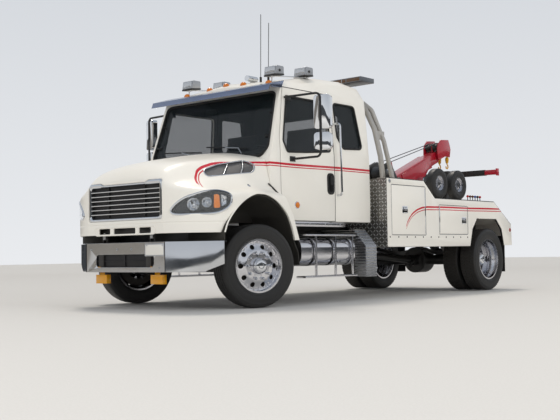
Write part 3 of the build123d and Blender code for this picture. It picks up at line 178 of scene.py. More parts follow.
yaw, pitch, roll = (math.radians(angle) for angle in (220.605, 2.6047, -0.8906))
ahead = Vector((math.cos(yaw) * math.cos(pitch), math.sin(yaw) * math.cos(pitch), math.sin(pitch)))
right = ahead.cross(Vector((0, 0, 1))).normalized()
up = right.cross(ahead)
tilted = (math.cos(roll) * right + math.sin(roll) * up, math.cos(roll) * up - math.sin(roll) * right, -ahead)
lens = bpy.data.cameras.new("photo_camera")
lens.sensor_width = 36
lens.lens = 957.17 / 560 * 36
lens.clip_end = 300
camera = linked("photo_camera", lens)
camera.matrix_world = Matrix.Translation((10.2674, 8.0658, 0.5842)) @ Matrix(tilted).transposed().to_4x4()
bpy.context.scene.camera = camera
bpy.context.scene.view_settings.view_transform = "Standard"

# Chassis: pressed steel channel rails, axles, springs and engine, in satin black chassis
# enamel with road dust; they are welded and bolted under the cab and the body.


def surface(name, colour, roughness, metallic=0.0, tint=None, grain=4, spread=0.06, relief=0.0, **own):
    """A material with slow colour change, uneven gloss and a fine relief; grain and relief are in mm."""
    made = bpy.data.materials.new(name)
    made.use_nodes = True
    tree = made.node_tree
    gloss = tree.nodes["Principled BSDF"]
    place = add(tree, "ShaderNodeTexCoord").outputs["Object"]
    fine = add(tree, "ShaderNodeTexNoise", {"Vector": place, "Scale": 1000 / grain, "Detail": 3.0})
    broad = add(tree, "ShaderNodeTexNoise", {"Vector": place, "Scale": 2.2, "Detail": 4.0})
    change = add(tree, "ShaderNodeMapRange", {0: broad, 1: 0.35, 2: 0.65, 3: roughness - spread / 2,
                                              4: roughness + spread})
    tree.links.new(change.outputs[0], gloss.inputs["Roughness"])
    shade = add(tree, "ShaderNodeMix", {0: broad, 6: linear(colour), 7: linear(tint or colour)},
                data_type="RGBA")
    tree.links.new(shade.outputs[2], gloss.inputs["Base Color"])
    if relief:
        bump = add(tree, "ShaderNodeBump", {"Height": fine, "Distance": relief / 1000, "Strength": 1.0})
        tree.links.new(bump.outputs[0], gloss.inputs["Normal"])
    gloss.inputs["Metallic"].default_value = metallic
    for socket, value in own.items():
        gloss.inputs[socket.replace("_", " ")].default_value = value
    return made


def loose_parts(bm):
    """The vertices of a mesh in groups, one for each part that hangs together."""
    seen, groups = set(), []
    for seed in bm.verts:
        if seed in seen:
            continue
        seen.add(seed)
        groups.append([seed])
        for vertex in groups[-1]:
            for link in vertex.link_edges:
                other = link.other_vert(vertex)
                if other not in seen:
                    seen.add(other)
                    groups[-1].append(other)
    return groups


def baked(made):
    """The plain mesh of an object, with its modifiers worked in."""
    return bpy.data.meshes.new_from_object(made.evaluated_get(bpy.context.evaluated_depsgraph_get()))


def finished(name, mesh, body, finishes, edge=0.0, crease=32, stands_for=()):
    """Rounds a mesh's sharp edges, smooths its curves, gives its materials and puts it on its body."""
    for finish in finishes:
        mesh.materials.append(finish)
    made = linked(name, mesh)
    if edge:
        rounding = made.modifiers.new("edges", "BEVEL")
        rounding.width, rounding.segments, rounding.angle_limit = edge / 1000, 2, math.radians(crease + 6)
        made.data = baked(made)
        made.modifiers.clear()
    made.data.name = name
    made.data.polygons.foreach_set("use_smooth", [True] * len(made.data.polygons))
    made.data.set_sharp_from_angle(angle=math.radians(crease))
    if body:
        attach(made, body)
    if stands_for:
        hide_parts(*stands_for)
    return made


def softened(node, finishes, edge=3.0, crease=32, pick=None, share=None):
    """A copy of a CAD node that stands for it, its faces joined and its edges rounded by a few mm.

    pick gives a finish from the low and high corners of each loose part, share from each face's middle
    and normal.
    """
    source = frame["nodes"][node]
    bm = bmesh.new()
    bm.from_mesh(source.data)
    bmesh.ops.remove_doubles(bm, verts=bm.verts[:], dist=2e-5)
    bmesh.ops.dissolve_limit(bm, angle_limit=math.radians(0.4), verts=bm.verts[:], edges=bm.edges[:])
    for face in bm.faces:
        face.material_index = share(face.calc_center_median(), face.normal) if share else 0
    for group in loose_parts(bm) if pick else ():
        low, high = (Vector([end(v.co[i] for v in group) for i in range(3)]) for end in (min, max))
        for vertex in group:
            for face in vertex.link_faces:
                face.material_index = pick(low, high)
    mesh = bpy.data.meshes.new(node + "_finished")
    bm.to_mesh(mesh)
    bm.free()
    return finished(node + "_finished", mesh, source["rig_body"], finishes, edge, crease, (node,))


# Satin black chassis enamel: sprayed over steel, dark and slightly dusty
chassis_enamel = surface("satin_black_chassis_enamel", "#1b1b1c", 0.42, tint="#2a2825", grain=3, relief=0.15)
# Sand-cast iron: dull, grainy and warm grey, so that the engine reads as a rough casting
cast_iron = surface("sand_cast_iron", "#3a3a3b", 0.6, 0.6, tint="#4a443d", grain=2.5, relief=0.5)
# Anodised fins: dark with a metal glint, so that the radiator is told from the engine
cooler_fins = surface("anodised_cooler_fins", "#26282a", 0.5, 0.7, grain=3, relief=0.3)
for node in ("frame", "front_axle", "rear_axle", "knuckle_left", "knuckle_right", "stinger", "stinger_inner"):
    softened(node, [chassis_enamel], 3 if node in ("frame", "stinger") else 0)
# The radiator is the loose part ahead of the engine block
softened("engine", [cast_iron, cooler_fins], 4, pick=lambda low, high: int(low.x > 3.1))

# Road wheels: black rubber tyres, ribbed at the front and lugged at the rear, on forged and
# polished aluminium discs with hand holes, chromed nut covers and hub caps.


front_axle_x, axle_height, rear_axle = 2462.5, 455, -4930
front_wheel_y, kingpin_y, steer_angle = 1035, 880, -17


def row(x, y, z):
    """A place in mm with x from the front axle, as all places here are given, in metres in the row frame."""
    return Vector(((x + front_axle_x) / 1000, y / 1000, z / 1000))


def in_mm(place):
    """A place of the row frame in mm, with x from the front axle again."""
    return (place.x * 1000 - front_axle_x, place.y * 1000, place.z * 1000)


def turned(profile, steps=72, closed=True):
    """Corners and faces of a profile of (y, radius) turned about the Y axis, in millimetres."""
    corners, faces = [], []
    for i in range(steps):
        a = 2 * math.pi * i / steps
        corners += [(r * math.sin(a), y, r * math.cos(a)) for y, r in profile]
    count = len(profile)
    for i in range(steps):
        for j in range(count if closed else count - 1):
            k, n = (j + 1) % count, (i + 1) % steps
            faces.append((i * count + j, i * count + k, n * count + k, n * count + j))
    return corners, faces


def extruded(outline, low, high, axis="y"):
    """A flat outline drawn out along one axis; the outline is given in the other two, in their order."""
    put = {"x": lambda a, b, c: (c, a, b), "y": lambda a, b, c: (a, c, b),
           "z": lambda a, b, c: (a, b, c)}[axis]
    count = len(outline)
    corners = [put(a, b, low) for a, b in outline] + [put(a, b, high) for a, b in outline]
    faces = [tuple(range(count)), tuple(range(2 * count - 1, count - 1, -1))]
    faces += [(i, (i + 1) % count, (i + 1) % count + count, i + count) for i in range(count)]
    return corners, faces


def placed(shape, x=0, y=0, z=0, turn=0, axis="Z", mirrored=False):
    """A shape turned by degrees about an axis, then moved, in millimetres, and mirrored in y if asked."""
    spot = Matrix.Translation((x, y, z)) @ Matrix.Rotation(math.radians(turn), 4, axis)
    corners = [spot @ Vector(c) for c in shape[0]]
    return [(c.x, -c.y if mirrored else c.y, c.z) for c in corners], shape[1]


def sided(pieces, side):
    """Pieces drawn for the left, as they are for side 1 or mirrored to the right for side -1."""
    return [(placed(shape, mirrored=side < 0), finish) for shape, finish in pieces]


def both(pieces):
    """Pieces drawn for the left, with their mirror images on the right."""
    return sided(pieces, 1) + sided(pieces, -1)


def assembled(name, body, shapes, finishes, edge=0.0, crease=32, stands_for=(), steer=0):
    """One object from (shape, finish number) pairs in mm; a steered wheel's parts turn with their kingpin."""
    corners, faces, numbers = [], [], []
    for (points, loops), number in shapes:
        start = len(corners)
        corners += points
        faces += [tuple(start + i for i in loop) for loop in loops]
        numbers += [number] * len(loops)
    if steer:
        pin = Matrix.Translation((0, kingpin_y * steer, 0))
        swing = pin @ Matrix.Rotation(math.radians(steer_angle), 4, "Z") @ pin.inverted()
        corners = [swing @ Vector(c) for c in corners]
    mesh = bpy.data.meshes.new(name)
    mesh.from_pydata([row(*c) for c in corners], [], faces)
    mesh.polygons.foreach_set("material_index", numbers)
    bm = bmesh.new()
    bm.from_mesh(mesh)
    bmesh.ops.recalc_face_normals(bm, faces=bm.faces[:])
    bm.to_mesh(mesh)
    bm.free()
    return finished(name, mesh, body, finishes, edge, crease, stands_for)


def group_tree(name, inputs):
    """An empty geometry tree with its geometry socket and named inputs."""
    tree = bpy.data.node_groups.new(name, "GeometryNodeTree")
    tree.interface.new_socket("Geometry", in_out="INPUT", socket_type="NodeSocketGeometry")
    for label, kind in inputs:
        tree.interface.new_socket(label, in_out="INPUT", socket_type=kind)
    tree.interface.new_socket("Geometry", in_out="OUTPUT", socket_type="NodeSocketGeometry")
    return tree, add(tree, "NodeGroupInput")


# Repeats the given shape round the Y axis, with its top pointing away from the axis
wheel_tree, given = group_tree("round_the_axle", [
    ("Count", "NodeSocketInt"), ("Radius", "NodeSocketFloat"), ("Phase", "NodeSocketFloat"),
    ("Finish", "NodeSocketMaterial")])
spots = add(wheel_tree, "GeometryNodePoints", {"Count": given.outputs["Count"]})
place = add(wheel_tree, "ShaderNodeMath", {0: add(wheel_tree, "GeometryNodeInputIndex"),
                                           1: given.outputs["Phase"]}, operation="ADD")
turn = add(wheel_tree, "ShaderNodeMath", {0: place, 1: given.outputs["Count"]}, operation="DIVIDE")
turn = add(wheel_tree, "ShaderNodeMath", {0: turn, 1: 2 * math.pi}, operation="MULTIPLY")
spoke = add(wheel_tree, "ShaderNodeCombineXYZ", {2: given.outputs["Radius"]})
spoke = add(wheel_tree, "ShaderNodeVectorRotate", {"Vector": spoke, "Angle": turn}, rotation_type="Y_AXIS")
spots = add(wheel_tree, "GeometryNodeSetPosition", {"Geometry": spots, "Position": spoke})
copies = add(wheel_tree, "GeometryNodeInstanceOnPoints", {
    "Points": spots, "Instance": given.outputs["Geometry"],
    "Rotation": add(wheel_tree, "ShaderNodeCombineXYZ", {1: turn})})
copies = add(wheel_tree, "GeometryNodeRealizeInstances", {0: copies})
copies = add(wheel_tree, "GeometryNodeSetMaterial", {"Geometry": copies, "Material": given.outputs["Finish"]})
add(wheel_tree, "NodeGroupOutput", {0: copies})


def repeated(tree, shape, **values):
    """The corners and faces that a geometry tree makes from one shape."""
    mesh = bpy.data.meshes.new("repeat_source")
    mesh.from_pydata([Vector(c) / 1000 for c in shape[0]], [], shape[1])
    holder = linked("repeat_source", mesh)
    repeat = holder.modifiers.new("repeat", "NODES")
    repeat.node_group = tree
    for item in tree.interface.items_tree:
        if item.in_out == "INPUT" and item.name in values:
            repeat[item.identifier] = values[item.name]
    result = baked(holder)
    bpy.data.objects.remove(holder)
    return [tuple(v.co * 1000) for v in result.vertices], [tuple(p.vertices) for p in result.polygons]


def tyre_profile(radius, half, bead, grooves, depth):
    """Half section of a tyre mirrored about its middle, with round-the-tyre grooves in the tread."""
    # Shares of the half width and of the sidewall's height, from the bead up to the shoulder
    wall = [(0.8, 0), (0.9, 0.06), (0.955, 0.16), (0.965, 0.2), (0.945, 0.215), (0.985, 0.34), (1, 0.5),
            (0.992, 0.62), (0.965, 0.74), (0.975, 0.755), (0.95, 0.8), (0.915, 0.905), (0.86, 0.955),
            (0.78, 0.985)]
    side = [(half * y, bead + max(1, (radius - bead) * z)) for y, z in wall]
    tread = []
    for y in sorted(grooves, reverse=True):
        top = radius - 1.5 * abs(y) / half
        tread += [(y + 5.5, top), (y + 4, top - depth), (y - 4, top - depth), (y - 5.5, top)]
    return side + tread + [(-y, r) for y, r in reversed(side)]


# Tyre rubber: carbon black, matt with a faint sheen on the sidewall; the tread is dusty grey
tyre_rubber = surface("tyre_rubber", "#1d1d1e", 0.5, tint="#282725", grain=5, relief=0.25, spread=0.1)
worn_tread = surface("dusty_tread_rubber", "#262422", 0.85, tint="#35322e", grain=6, relief=0.6)
# Forged and polished aluminium: bright, nearly mirror, with very fine turning marks
polished_alloy = surface("polished_forged_aluminium", "#d9d9dc", 0.13, 1.0, tint="#cfcfd3", grain=2,
                         relief=0.03)
# Bright chrome plate: an almost clean mirror, which gives hard highlights and dark reflections
chrome = surface("bright_chrome_plate", "#dfe1e4", 0.05, 1.0, grain=60, spread=0.02)

nut_cover = turned([(0, 0.5), (0, 16), (4, 16.5), (30, 14.5), (40, 11), (45, 5), (46, 0.5)], 10, False)
lug = extruded([(-20, -6), (20, -6), (17, 0), (-17, 0)], -19, 19)


def hub_shapes(face, cap_length):
    """Left nut covers, chrome hub cap and its rim, on a disc whose outer face is at y = face."""
    nuts = repeated(wheel_tree, nut_cover, Finish=chrome, Count=10, Radius=0.143, Phase=0.5)
    cap = turned([(0, 1), (0, 88), (14, 90), (20, 84), (cap_length - 26, 80), (cap_length - 14, 76),
                  (cap_length - 4, 62), (cap_length, 40), (cap_length + 1, 1)], 48, False)
    rib = turned([(cap_length - 2, 26), (cap_length + 4, 28), (cap_length + 4, 36), (cap_length - 2, 38)], 36)
    beads = repeated(wheel_tree, turned([(0, .5), (0, 5), (7, 4), (9, .5)], 8, False), Finish=chrome,
                     Count=8, Radius=0.066, Phase=0.0)
    return [(placed(shape, 0, face, 0), 0) for shape in (nuts, cap, rib, placed(beads, 0, cap_length - 8, 0))]


front_radius, rear_radius, tyre_half, bead_radius = 455, 448, 127, 286
front_hub_face, front_cap_length, rear_hub_face, rear_cap_length = 94, 62, 30, 138
rear_tyre_places = (790, 1080)
for side, word in ((1, "left"), (-1, "right")):
    body = f"wheel_front_{word}"
    ring = turned(tyre_profile(front_radius, tyre_half, bead_radius, (-66, -23, 23, 66), 12), 96)
    tyre = [(placed(ring, 0, front_wheel_y, axle_height), 0)]
    assembled(f"tyre_front_{word}_ribbed", body, sided(tyre, side), [tyre_rubber], 0, 40,
              (f"tyre_front_{word}",), steer=side)
    softened(f"rim_front_{word}", [polished_alloy], 0, 30)
    drum = turned([(-60, 150), (-60, 232), (-50, 238), (14, 238), (18, 232), (18, 150)], 64)
    # Known fault: on the right the covers stand inside the wheel's middle by as much as they should stand out
    trim = hub_shapes(front_hub_face * side, front_cap_length) + [(drum, 1)]
    trim = [(placed(shape, 0, front_wheel_y, axle_height), n) for shape, n in trim]
    assembled(f"hub_front_{word}", body, sided(trim, side), [chrome, cast_iron], 0, 40, steer=side)

tread_lanes = ((-88, 0.0), (-44, 0.5), (0, 0.0), (44, 0.5), (88, 0.0))
for side, word in ((1, "left"), (-1, "right")):
    body = f"wheel_rear_{word}"
    tyres = []
    for y in rear_tyre_places:
        ring = turned(tyre_profile(rear_radius, tyre_half, bead_radius, (-44, 44), 8), 96)
        tyres.append((placed(ring, rear_axle, y, axle_height), 0))
        for lane, phase in tread_lanes:
            lugs = repeated(wheel_tree, lug, Finish=worn_tread, Count=58, Radius=0.449, Phase=phase)
            tyres.append((placed(lugs, rear_axle, y + lane, axle_height), 1))
    assembled(f"tyres_rear_{word}_lugged", body, sided(tyres, side), [tyre_rubber, worn_tread], 0, 40,
              (f"tyres_rear_{word}",))
    softened(f"rim_rear_{word}", [polished_alloy], 0, 30)
    trim = [(placed(shape, rear_axle, sum(rear_tyre_places) / 2, axle_height), n)
            for shape, n in hub_shapes(rear_hub_face * side, rear_cap_length)]
    assembled(f"hub_rear_{word}", body, sided(trim, side), [chrome], 0, 40)

# Front bumper: a thick steel channel in three faces, pressed, polished and chromed, bolted to
# the rail ends, with a long tow-hook slot; amber fog lamps hang below it on straps.

# Chromed bumper steel: a mirror with a trace of wear, which shows the ground and a bright horizon
bumper_chrome = surface("chromed_bumper_steel", "#d4d6d9", 0.1, 1.0, tint="#c8cacd", grain=2, relief=0.02)
bumper = softened("front_bumper", [bumper_chrome], 5, 25)
for vertex in bumper.data.vertices:
    # the face steps back 5 mm, so that the plate and the bolts on it stay within the truck's length
    vertex.co.x -= 0.005 if vertex.co.x > row(1009, 0, 0).x else 0
# Black punched mesh: its holes are too fine to model, so a coarse relief gives the dark broken gloss
grille_mesh = surface("black_punched_mesh", "#0d0d0e", 0.5, tint="#17171a", grain=9, relief=2.0)
# Plate enamel: a smooth, bare warm white with a soft gloss
bare_plate = surface("bare_white_plate_enamel", "#e8e6e0", 0.3, tint="#dedbd2", grain=6)
# Zinc plate: pale half-gloss metal, which picks out bolts, studs and brackets
zinc = surface("zinc_plated_steel", "#b9bcc0", 0.28, 0.9, tint="#a6a9ad", grain=3, relief=0.05)
# Deep shadow: flat black, for the joints and recesses that let no light out
dark_hole = surface("deep_black_shadow", "#060606", 0.9)


def box(x0, x1, y0, y1, z0, z1):
    """A box between six places."""
    return extruded([(x0, z0), (x1, z0), (x1, z1), (x0, z1)], y0, y1)


def rounded(points, radius, steps=6):
    """A flat outline with each corner turned to an arc."""
    result = []
    count = len(points)
    for i, point in enumerate(points):
        here, before, after = Vector(point), Vector(points[i - 1]), Vector(points[(i + 1) % count])
        one, two = (before - here).normalized(), (after - here).normalized()
        half = one.angle(two) / 2
        cut = min(radius / math.tan(half), (before - here).length * 0.49, (after - here).length * 0.49)
        start, end = here + one * cut, here + two * cut
        for k in range(steps + 1):
            t = k / steps
            result.append(tuple(start * (1 - t) ** 2 + here * 2 * t * (1 - t) + end * t * t))
    return result


def disc(radius, depth, axis, place, dome=0.3, steps=20):
    """A low domed round, such as a bolt head or a lens, standing on a place along an axis."""
    ring = turned([(0, 0.3), (0, radius), (depth * (1 - dome), radius), (depth, radius * 0.75),
                   (depth * 1.02, 0.3)], steps, False)
    spin = Vector((0, 1, 0)).rotation_difference(Vector(axis)).to_matrix()
    return [tuple(spin @ Vector(c) + Vector(place)) for c in ring[0]], ring[1]


def plate(low, high, corner, depth, steps=6, axis="y"):
    """A flat rounded plate between two corners in side view (x, z), or in front view (y, z) for axis x."""
    outline = [low, (high[0], low[1]), high, (low[0], high[1])]
    return extruded(rounded(outline, corner, steps), *depth, axis)


bumper_trim = [(plate((-505, 447), (505, 613), 70, (982, 988), 6, "x"), 0),
               (box(992, 1000, -470, 470, 524, 532), 0), (box(992, 1000, -6, 6, 462, 598), 0),
               (box(1009.5, 1013, 648, 653, 409, 725), 3), (box(1009.5, 1013, -653, -648, 409, 725), 3),
               (plate((338, 577), (646, 712), 10, (1008, 1013.5), 4, "x"), 1),
               (plate((352, 590), (632, 699), 8, (1010, 1014), 4, "x"), 4)]
bolt_places = ((375, 690), (617, 690), (-120, 655), (120, 655), (-560, 655), (560, 455), (-560, 455))
bumper_trim += [(disc(11, 5, (1, 0, 0), (1009, y, z)), 2) for y, z in bolt_places]
assembled("bumper_mesh_plate_and_bolts", "chassis", bumper_trim,
          [grille_mesh, zinc, zinc, dark_hole, bare_plate], 0.6, 30)

# Tilting hood and fenders: one glass-fibre shell with a wide crown, blistered fenders and round
# arches, painted two-stage gloss white with red sweep stripes; it hinges at the nose on two lugs.

# White truck enamel: warm white under a thin clear coat, soft enough that highlights keep their shape
white_paint = surface("two_stage_white_truck_enamel", "#efece4", 0.3, tint="#e9e5db", grain=40, spread=0.05,
                      Coat_Weight=0.2, Coat_Roughness=0.15, Specular_IOR_Level=0.3)
# Glass-fibre inside: raw, rough and grey-brown, seen when the hood tilts
shell_inside = surface("raw_glass_fibre_inside", "#6d6a64", 0.75, tint="#5c5a55", grain=6, relief=0.4)
# Window rubber: dull black with a soft edge, which frames glass and rims
black_rubber = surface("black_window_rubber", "#151515", 0.6, tint="#1d1d1d", grain=4, relief=0.1)


def striped(paint, colour):
    """Lays two red sweep stripes with thin under-lines over a paint, by place on the cab and the body."""
    tree = paint.node_tree
    gloss = tree.nodes["Principled BSDF"]
    base = gloss.inputs["Base Color"].links[0].from_socket
    place = add(tree, "ShaderNodeSeparateXYZ", {0: add(tree, "ShaderNodeTexCoord").outputs["Object"]})
    flank = add(tree, "ShaderNodeMath", {0: place.outputs["Y"]}, operation="ABSOLUTE")
    marks = []
    # Middle of the upper stripe in side view, on the cab and hood and on the wrecker body
    cab_line = [(-2173, 1620), (-1497, 1618), (-681, 1607), (-242, 1607), (104, 1599), (254, 1592),
                (416, 1558), (549, 1510), (655, 1426), (743, 1325)]
    body_line = [(-5600, 1207), (-5256, 1202), (-4774, 1196), (-4314, 1189), (-3803, 1188), (-3427, 1182),
                 (-3209, 1176), (-3066, 1153), (-2925, 1103), (-2801, 1015), (-2729, 917)]
    # The stripes lie on faces farther out than inner_y metres; each has its drop and half width in mm
    for line, inner_y, lines in ((cab_line, 0.5, ((0, 13), (-31, 6))),
                                 (body_line, 1.18, ((0, 12), (-36, 6)))):
        first, last = row(line[0][0], 0, 0).x, row(line[-1][0], 0, 0).x
        low, high = min(z for x, z in line) / 1000, max(z for x, z in line) / 1000
        along = add(tree, "ShaderNodeMapRange", {0: place.outputs["X"], 1: first, 2: last})
        sweep = add(tree, "ShaderNodeFloatCurve", {"Value": along})
        curve = sweep.mapping.curves[0]
        spots = [((row(x, 0, 0).x - first) / (last - first), (z / 1000 - low) / (high - low))
                 for x, z in line]
        curve.points[0].location, curve.points[1].location = spots[0], spots[-1]
        for spot in spots[1:-1]:
            curve.points.new(*spot)
        sweep.mapping.update()
        height = add(tree, "ShaderNodeMapRange", {0: sweep, 3: low, 4: high})
        within = add(tree, "ShaderNodeMath", {0: place.outputs["X"], 1: (first + last) / 2,
                                              2: abs(last - first) / 2}, operation="COMPARE")
        beside = add(tree, "ShaderNodeMath", {0: flank, 1: inner_y}, operation="GREATER_THAN")
        within = add(tree, "ShaderNodeMath", {0: within, 1: beside}, operation="MULTIPLY")
        for drop, half in lines:
            middle = add(tree, "ShaderNodeMath", {0: height, 1: drop / 1000}, operation="ADD")
            mark = add(tree, "ShaderNodeMath", {0: place.outputs["Z"], 1: middle, 2: half / 1000},
                       operation="COMPARE")
            marks.append(add(tree, "ShaderNodeMath", {0: mark, 1: within}, operation="MULTIPLY"))
    total = marks[0]
    for mark in marks[1:]:
        total = add(tree, "ShaderNodeMath", {0: total, 1: mark}, operation="MAXIMUM")
    laid = add(tree, "ShaderNodeMix", {0: total, 6: base, 7: linear(colour)}, data_type="RGBA")
    tree.links.new(laid.outputs[2], gloss.inputs["Base Color"])


striped(white_paint, "#c2122b")


def eased(table, x):
    """A smooth value between the rows of a table, which never runs past its neighbours."""
    table = sorted(table)
    xs, ys = [p[0] for p in table], [p[1] for p in table]
    if x <= xs[0] or x >= xs[-1]:
        return ys[0] if x <= xs[0] else ys[-1]
    i = max(k for k in range(len(xs) - 1) if xs[k] <= x)
    slopes = [(b - a) / (d - c) for a, b, c, d in zip(ys, ys[1:], xs, xs[1:])]
    ends = []
    for k in (i, i + 1):
        before, after = slopes[max(k - 1, 0)], slopes[min(k, len(slopes) - 1)]
        ends.append(0 if before * after <= 0 else 2 * before * after / (before + after))
    h = xs[i + 1] - xs[i]
    t = (x - xs[i]) / h
    return (ys[i] * (1 + 2 * t) * (1 - t) ** 2 + h * ends[0] * t * (1 - t) ** 2
            + ys[i + 1] * t * t * (3 - 2 * t) + h * ends[1] * t * t * (t - 1))


# x, crown, ridge y and z, slope y and z, valley y and z, fender z
hood_rows = [(1100, 1330, 555, 1290, 715, 1235, 930, 1190, 1130),
             (1000, 1436, 550, 1396, 725, 1290, 935, 1225, 1160),
             (925, 1528, 545, 1478, 740, 1330, 940, 1250, 1185),
             (830, 1584, 545, 1530, 760, 1362, 945, 1275, 1208),
             (640, 1640, 555, 1588, 800, 1402, 960, 1312, 1240),
             (140, 1730, 600, 1668, 895, 1505, 995, 1372, 1275),
             (-240, 1785, 640, 1722, 965, 1638, 1016, 1400, 1262)]


def hood_height(x, y):
    """Height of the hood's upper face before its edge is rounded."""
    crown, ry, rz, sy, sz, vy, vz, fz = (eased([(r[0], r[k]) for r in hood_rows], x) for k in range(1, 9))
    return eased([(-10, crown), (0, crown), (300, crown - 15), (ry, rz), (sy, sz), (vy, vz), (1095, fz + 8),
                  (1195, fz - 16)], abs(y))


# Plan of the nose: the side, a long bow round the lamp, then the flat front
hood_back, bow_start, hood_side = -240, 430, 1195
side_run = [Vector((hood_back + (bow_start - hood_back) * i / 24, hood_side)) for i in range(24)]
bow = [Vector((bow_start, hood_side)), Vector((710, hood_side)), Vector((960, 917)), Vector((1005, 620))]
bow_steps = [i / 34 for i in range(33)] + [0.965, 0.975, 0.983, 0.99, 0.995, 1.0]
bow_run = [bow[0] * (1 - t) ** 3 + bow[1] * 3 * t * (1 - t) ** 2 + bow[2] * 3 * t * t * (1 - t)
           + bow[3] * t ** 3 for t in bow_steps]
rim_run = side_run + bow_run
spine_run = [p.x for p in side_run] + [bow_start + (bow[3].x - bow_start) * t for t in bow_steps]
front_run = [Vector((bow[3].x, bow[3].y * (1 - i / 20))) for i in range(21)]
whole_rim = rim_run + front_run[1:]


def edge_radius(place):
    """Radius of the shell's shoulder: wide on the fenders, tight over the grille."""
    return 62 - 30 * min(1, max(0, (place.x - 820) / 150))


def shell_point(x, y):
    """A place on the hood's outer face, with the shoulder rounded towards the rim of its plan."""
    place = Vector((x, y))
    radius = edge_radius(place)
    gap = min((place - (a + (b - a) * min(1, max(0, (place - a).dot(b - a) / (b - a).length_squared)))).length
              for a, b in zip(whole_rim, whole_rim[1:]))
    inside = max(0.0, radius - gap)
    return (x, y, hood_height(x, y) - (radius - math.sqrt(max(0.0, radius ** 2 - inside ** 2))))


lines = []
for spine, rim in zip(spine_run, rim_run):
    foot = Vector((spine, 0))
    length = (rim - foot).length
    radius = edge_radius(rim)
    inner = [(length - radius) * j / 34 for j in range(35)]
    outer = [length - radius * (1 - math.sin(math.pi / 2 * k / 8)) for k in range(1, 9)]
    lines.append([shell_point(*(foot + (rim - foot) * (d / length))) for d in inner + outer])
bm = bmesh.new()
grid = [[bm.verts.new(row(*p)) for p in line] for line in lines]
for a, b in zip(grid, grid[1:]):
    for j in range(len(a) - 1):
        bm.faces.new((a[j], b[j], b[j + 1], a[j + 1]))
tops = [line[-1] for line in grid] + list(reversed(grid[-1][:-1]))
below = None
for top in tops:
    x, y, start_z = in_mm(top.co)
    levels = [start_z + (936 - start_z) * k / 9 for k in range(1, 10)]
    levels += [930, 927.5, 924.5, 922, 905, 880, 850, 815]
    column = [top]
    for z in levels:
        # A moulded groove runs round the shell between 922 and 930 mm
        inset = 4 if z in (927.5, 924.5) else 0
        shift = Vector((x - 300, y if x < 900 else y * 0.2)).normalized() * inset
        column.append(bm.verts.new(row(x - shift.x, y - shift.y, z)))
    if below:
        for k in range(len(column) - 1):
            bm.faces.new((below[k], column[k], column[k + 1], below[k + 1]))
    below = column
bmesh.ops.mirror(bm, geom=bm.verts[:] + bm.edges[:] + bm.faces[:], axis="Y", merge_dist=1e-5)
bmesh.ops.remove_doubles(bm, verts=bm.verts[:], dist=1e-5)
bmesh.ops.recalc_face_normals(bm, faces=bm.faces[:])
if sum(face.normal.z * face.calc_area() for face in bm.faces) < 0:
    bmesh.ops.reverse_faces(bm, faces=bm.faces[:])
skin = BVHTree.FromBMesh(bm)
shell = bpy.data.meshes.new("hood_shell")
bm.to_mesh(shell)
bm.free()


def on_shell(x, z, out=0.0):
    """A place on the left of the hood's face at an x and a height, moved out along the face's normal."""
    spot, normal, _, _ = skin.ray_cast(row(x, 1500, z), Vector((0, -1, 0)))
    if spot is None:
        spot, normal, _, _ = skin.find_nearest(row(x, 700, z))
    if normal.y < 0:
        normal = -normal
    return in_mm(spot + normal * out / 1000)


# Outlines in side view: the wheel arch, the headlamp and the side vent
arch_line = [(659, 815), (622, 902), (560, 985), (483, 1062), (400, 1128), (310, 1180), (225, 1215),
             (139, 1234), (40, 1233), (-60, 1211), (-150, 1172), (-240, 1117), (-310, 1060), (-367, 990),
             (-425, 875), (-472, 733)]
lamp_line = [(984, 1006), (972, 1096), (918, 1184), (790, 1240), (634, 1254), (546, 1214), (556, 1098),
             (684, 1016)]
vent_line = [(548, 1420), (516, 1500), (300, 1568), (-40, 1630), (-84, 1566), (-30, 1486)]


def rounded_arch(grow=0):
    """The wheel arch in side view as one smooth line."""
    result = []
    for i in range(61):
        t = i / 60 * (len(arch_line) - 1)
        x = eased([(k, -p[0]) for k, p in enumerate(arch_line)], t)
        z = eased([(k, p[1]) for k, p in enumerate(arch_line)], t)
        away = Vector((-x - 95, z - 740)).normalized() * grow
        result.append((-x + away.x, z + away.y))
    return result


lamp_edge, vent_edge = rounded(lamp_line, 400, 4), rounded(vent_line, 400, 5)
arch_cut = extruded([(659, 600), *rounded_arch(), (-472, 600)], 640, 1290)
holes = [(arch_cut, 0), (extruded(lamp_edge, 640, 1290), 0), (extruded(vent_edge, 640, 1190), 0)]
grille_line = [(-605, 965), (605, 965), (605, 1392), (395, 1392), (345, 1370), (-345, 1370), (-395, 1392),
               (-605, 1392)]
cutters = [shape for shape, _ in both(holes)] + [extruded(rounded(grille_line, 34), 800, 1100, "x")]
for low, high in ((-430, -240), (-180, 180), (240, 430)):
    cutters.append(plate((low, 824), (high, 886), 14, (900, 1100), 6, "x"))


def solid_object(name, corners, faces):
    """A hidden helper solid whose faces point outwards."""
    mesh = bpy.data.meshes.new(name)
    mesh.from_pydata([row(*c) for c in corners], [], faces)
    tool = bmesh.new()
    tool.from_mesh(mesh)
    bmesh.ops.recalc_face_normals(tool, faces=tool.faces[:])
    tool.to_mesh(mesh)
    tool.free()
    return linked(name, mesh)


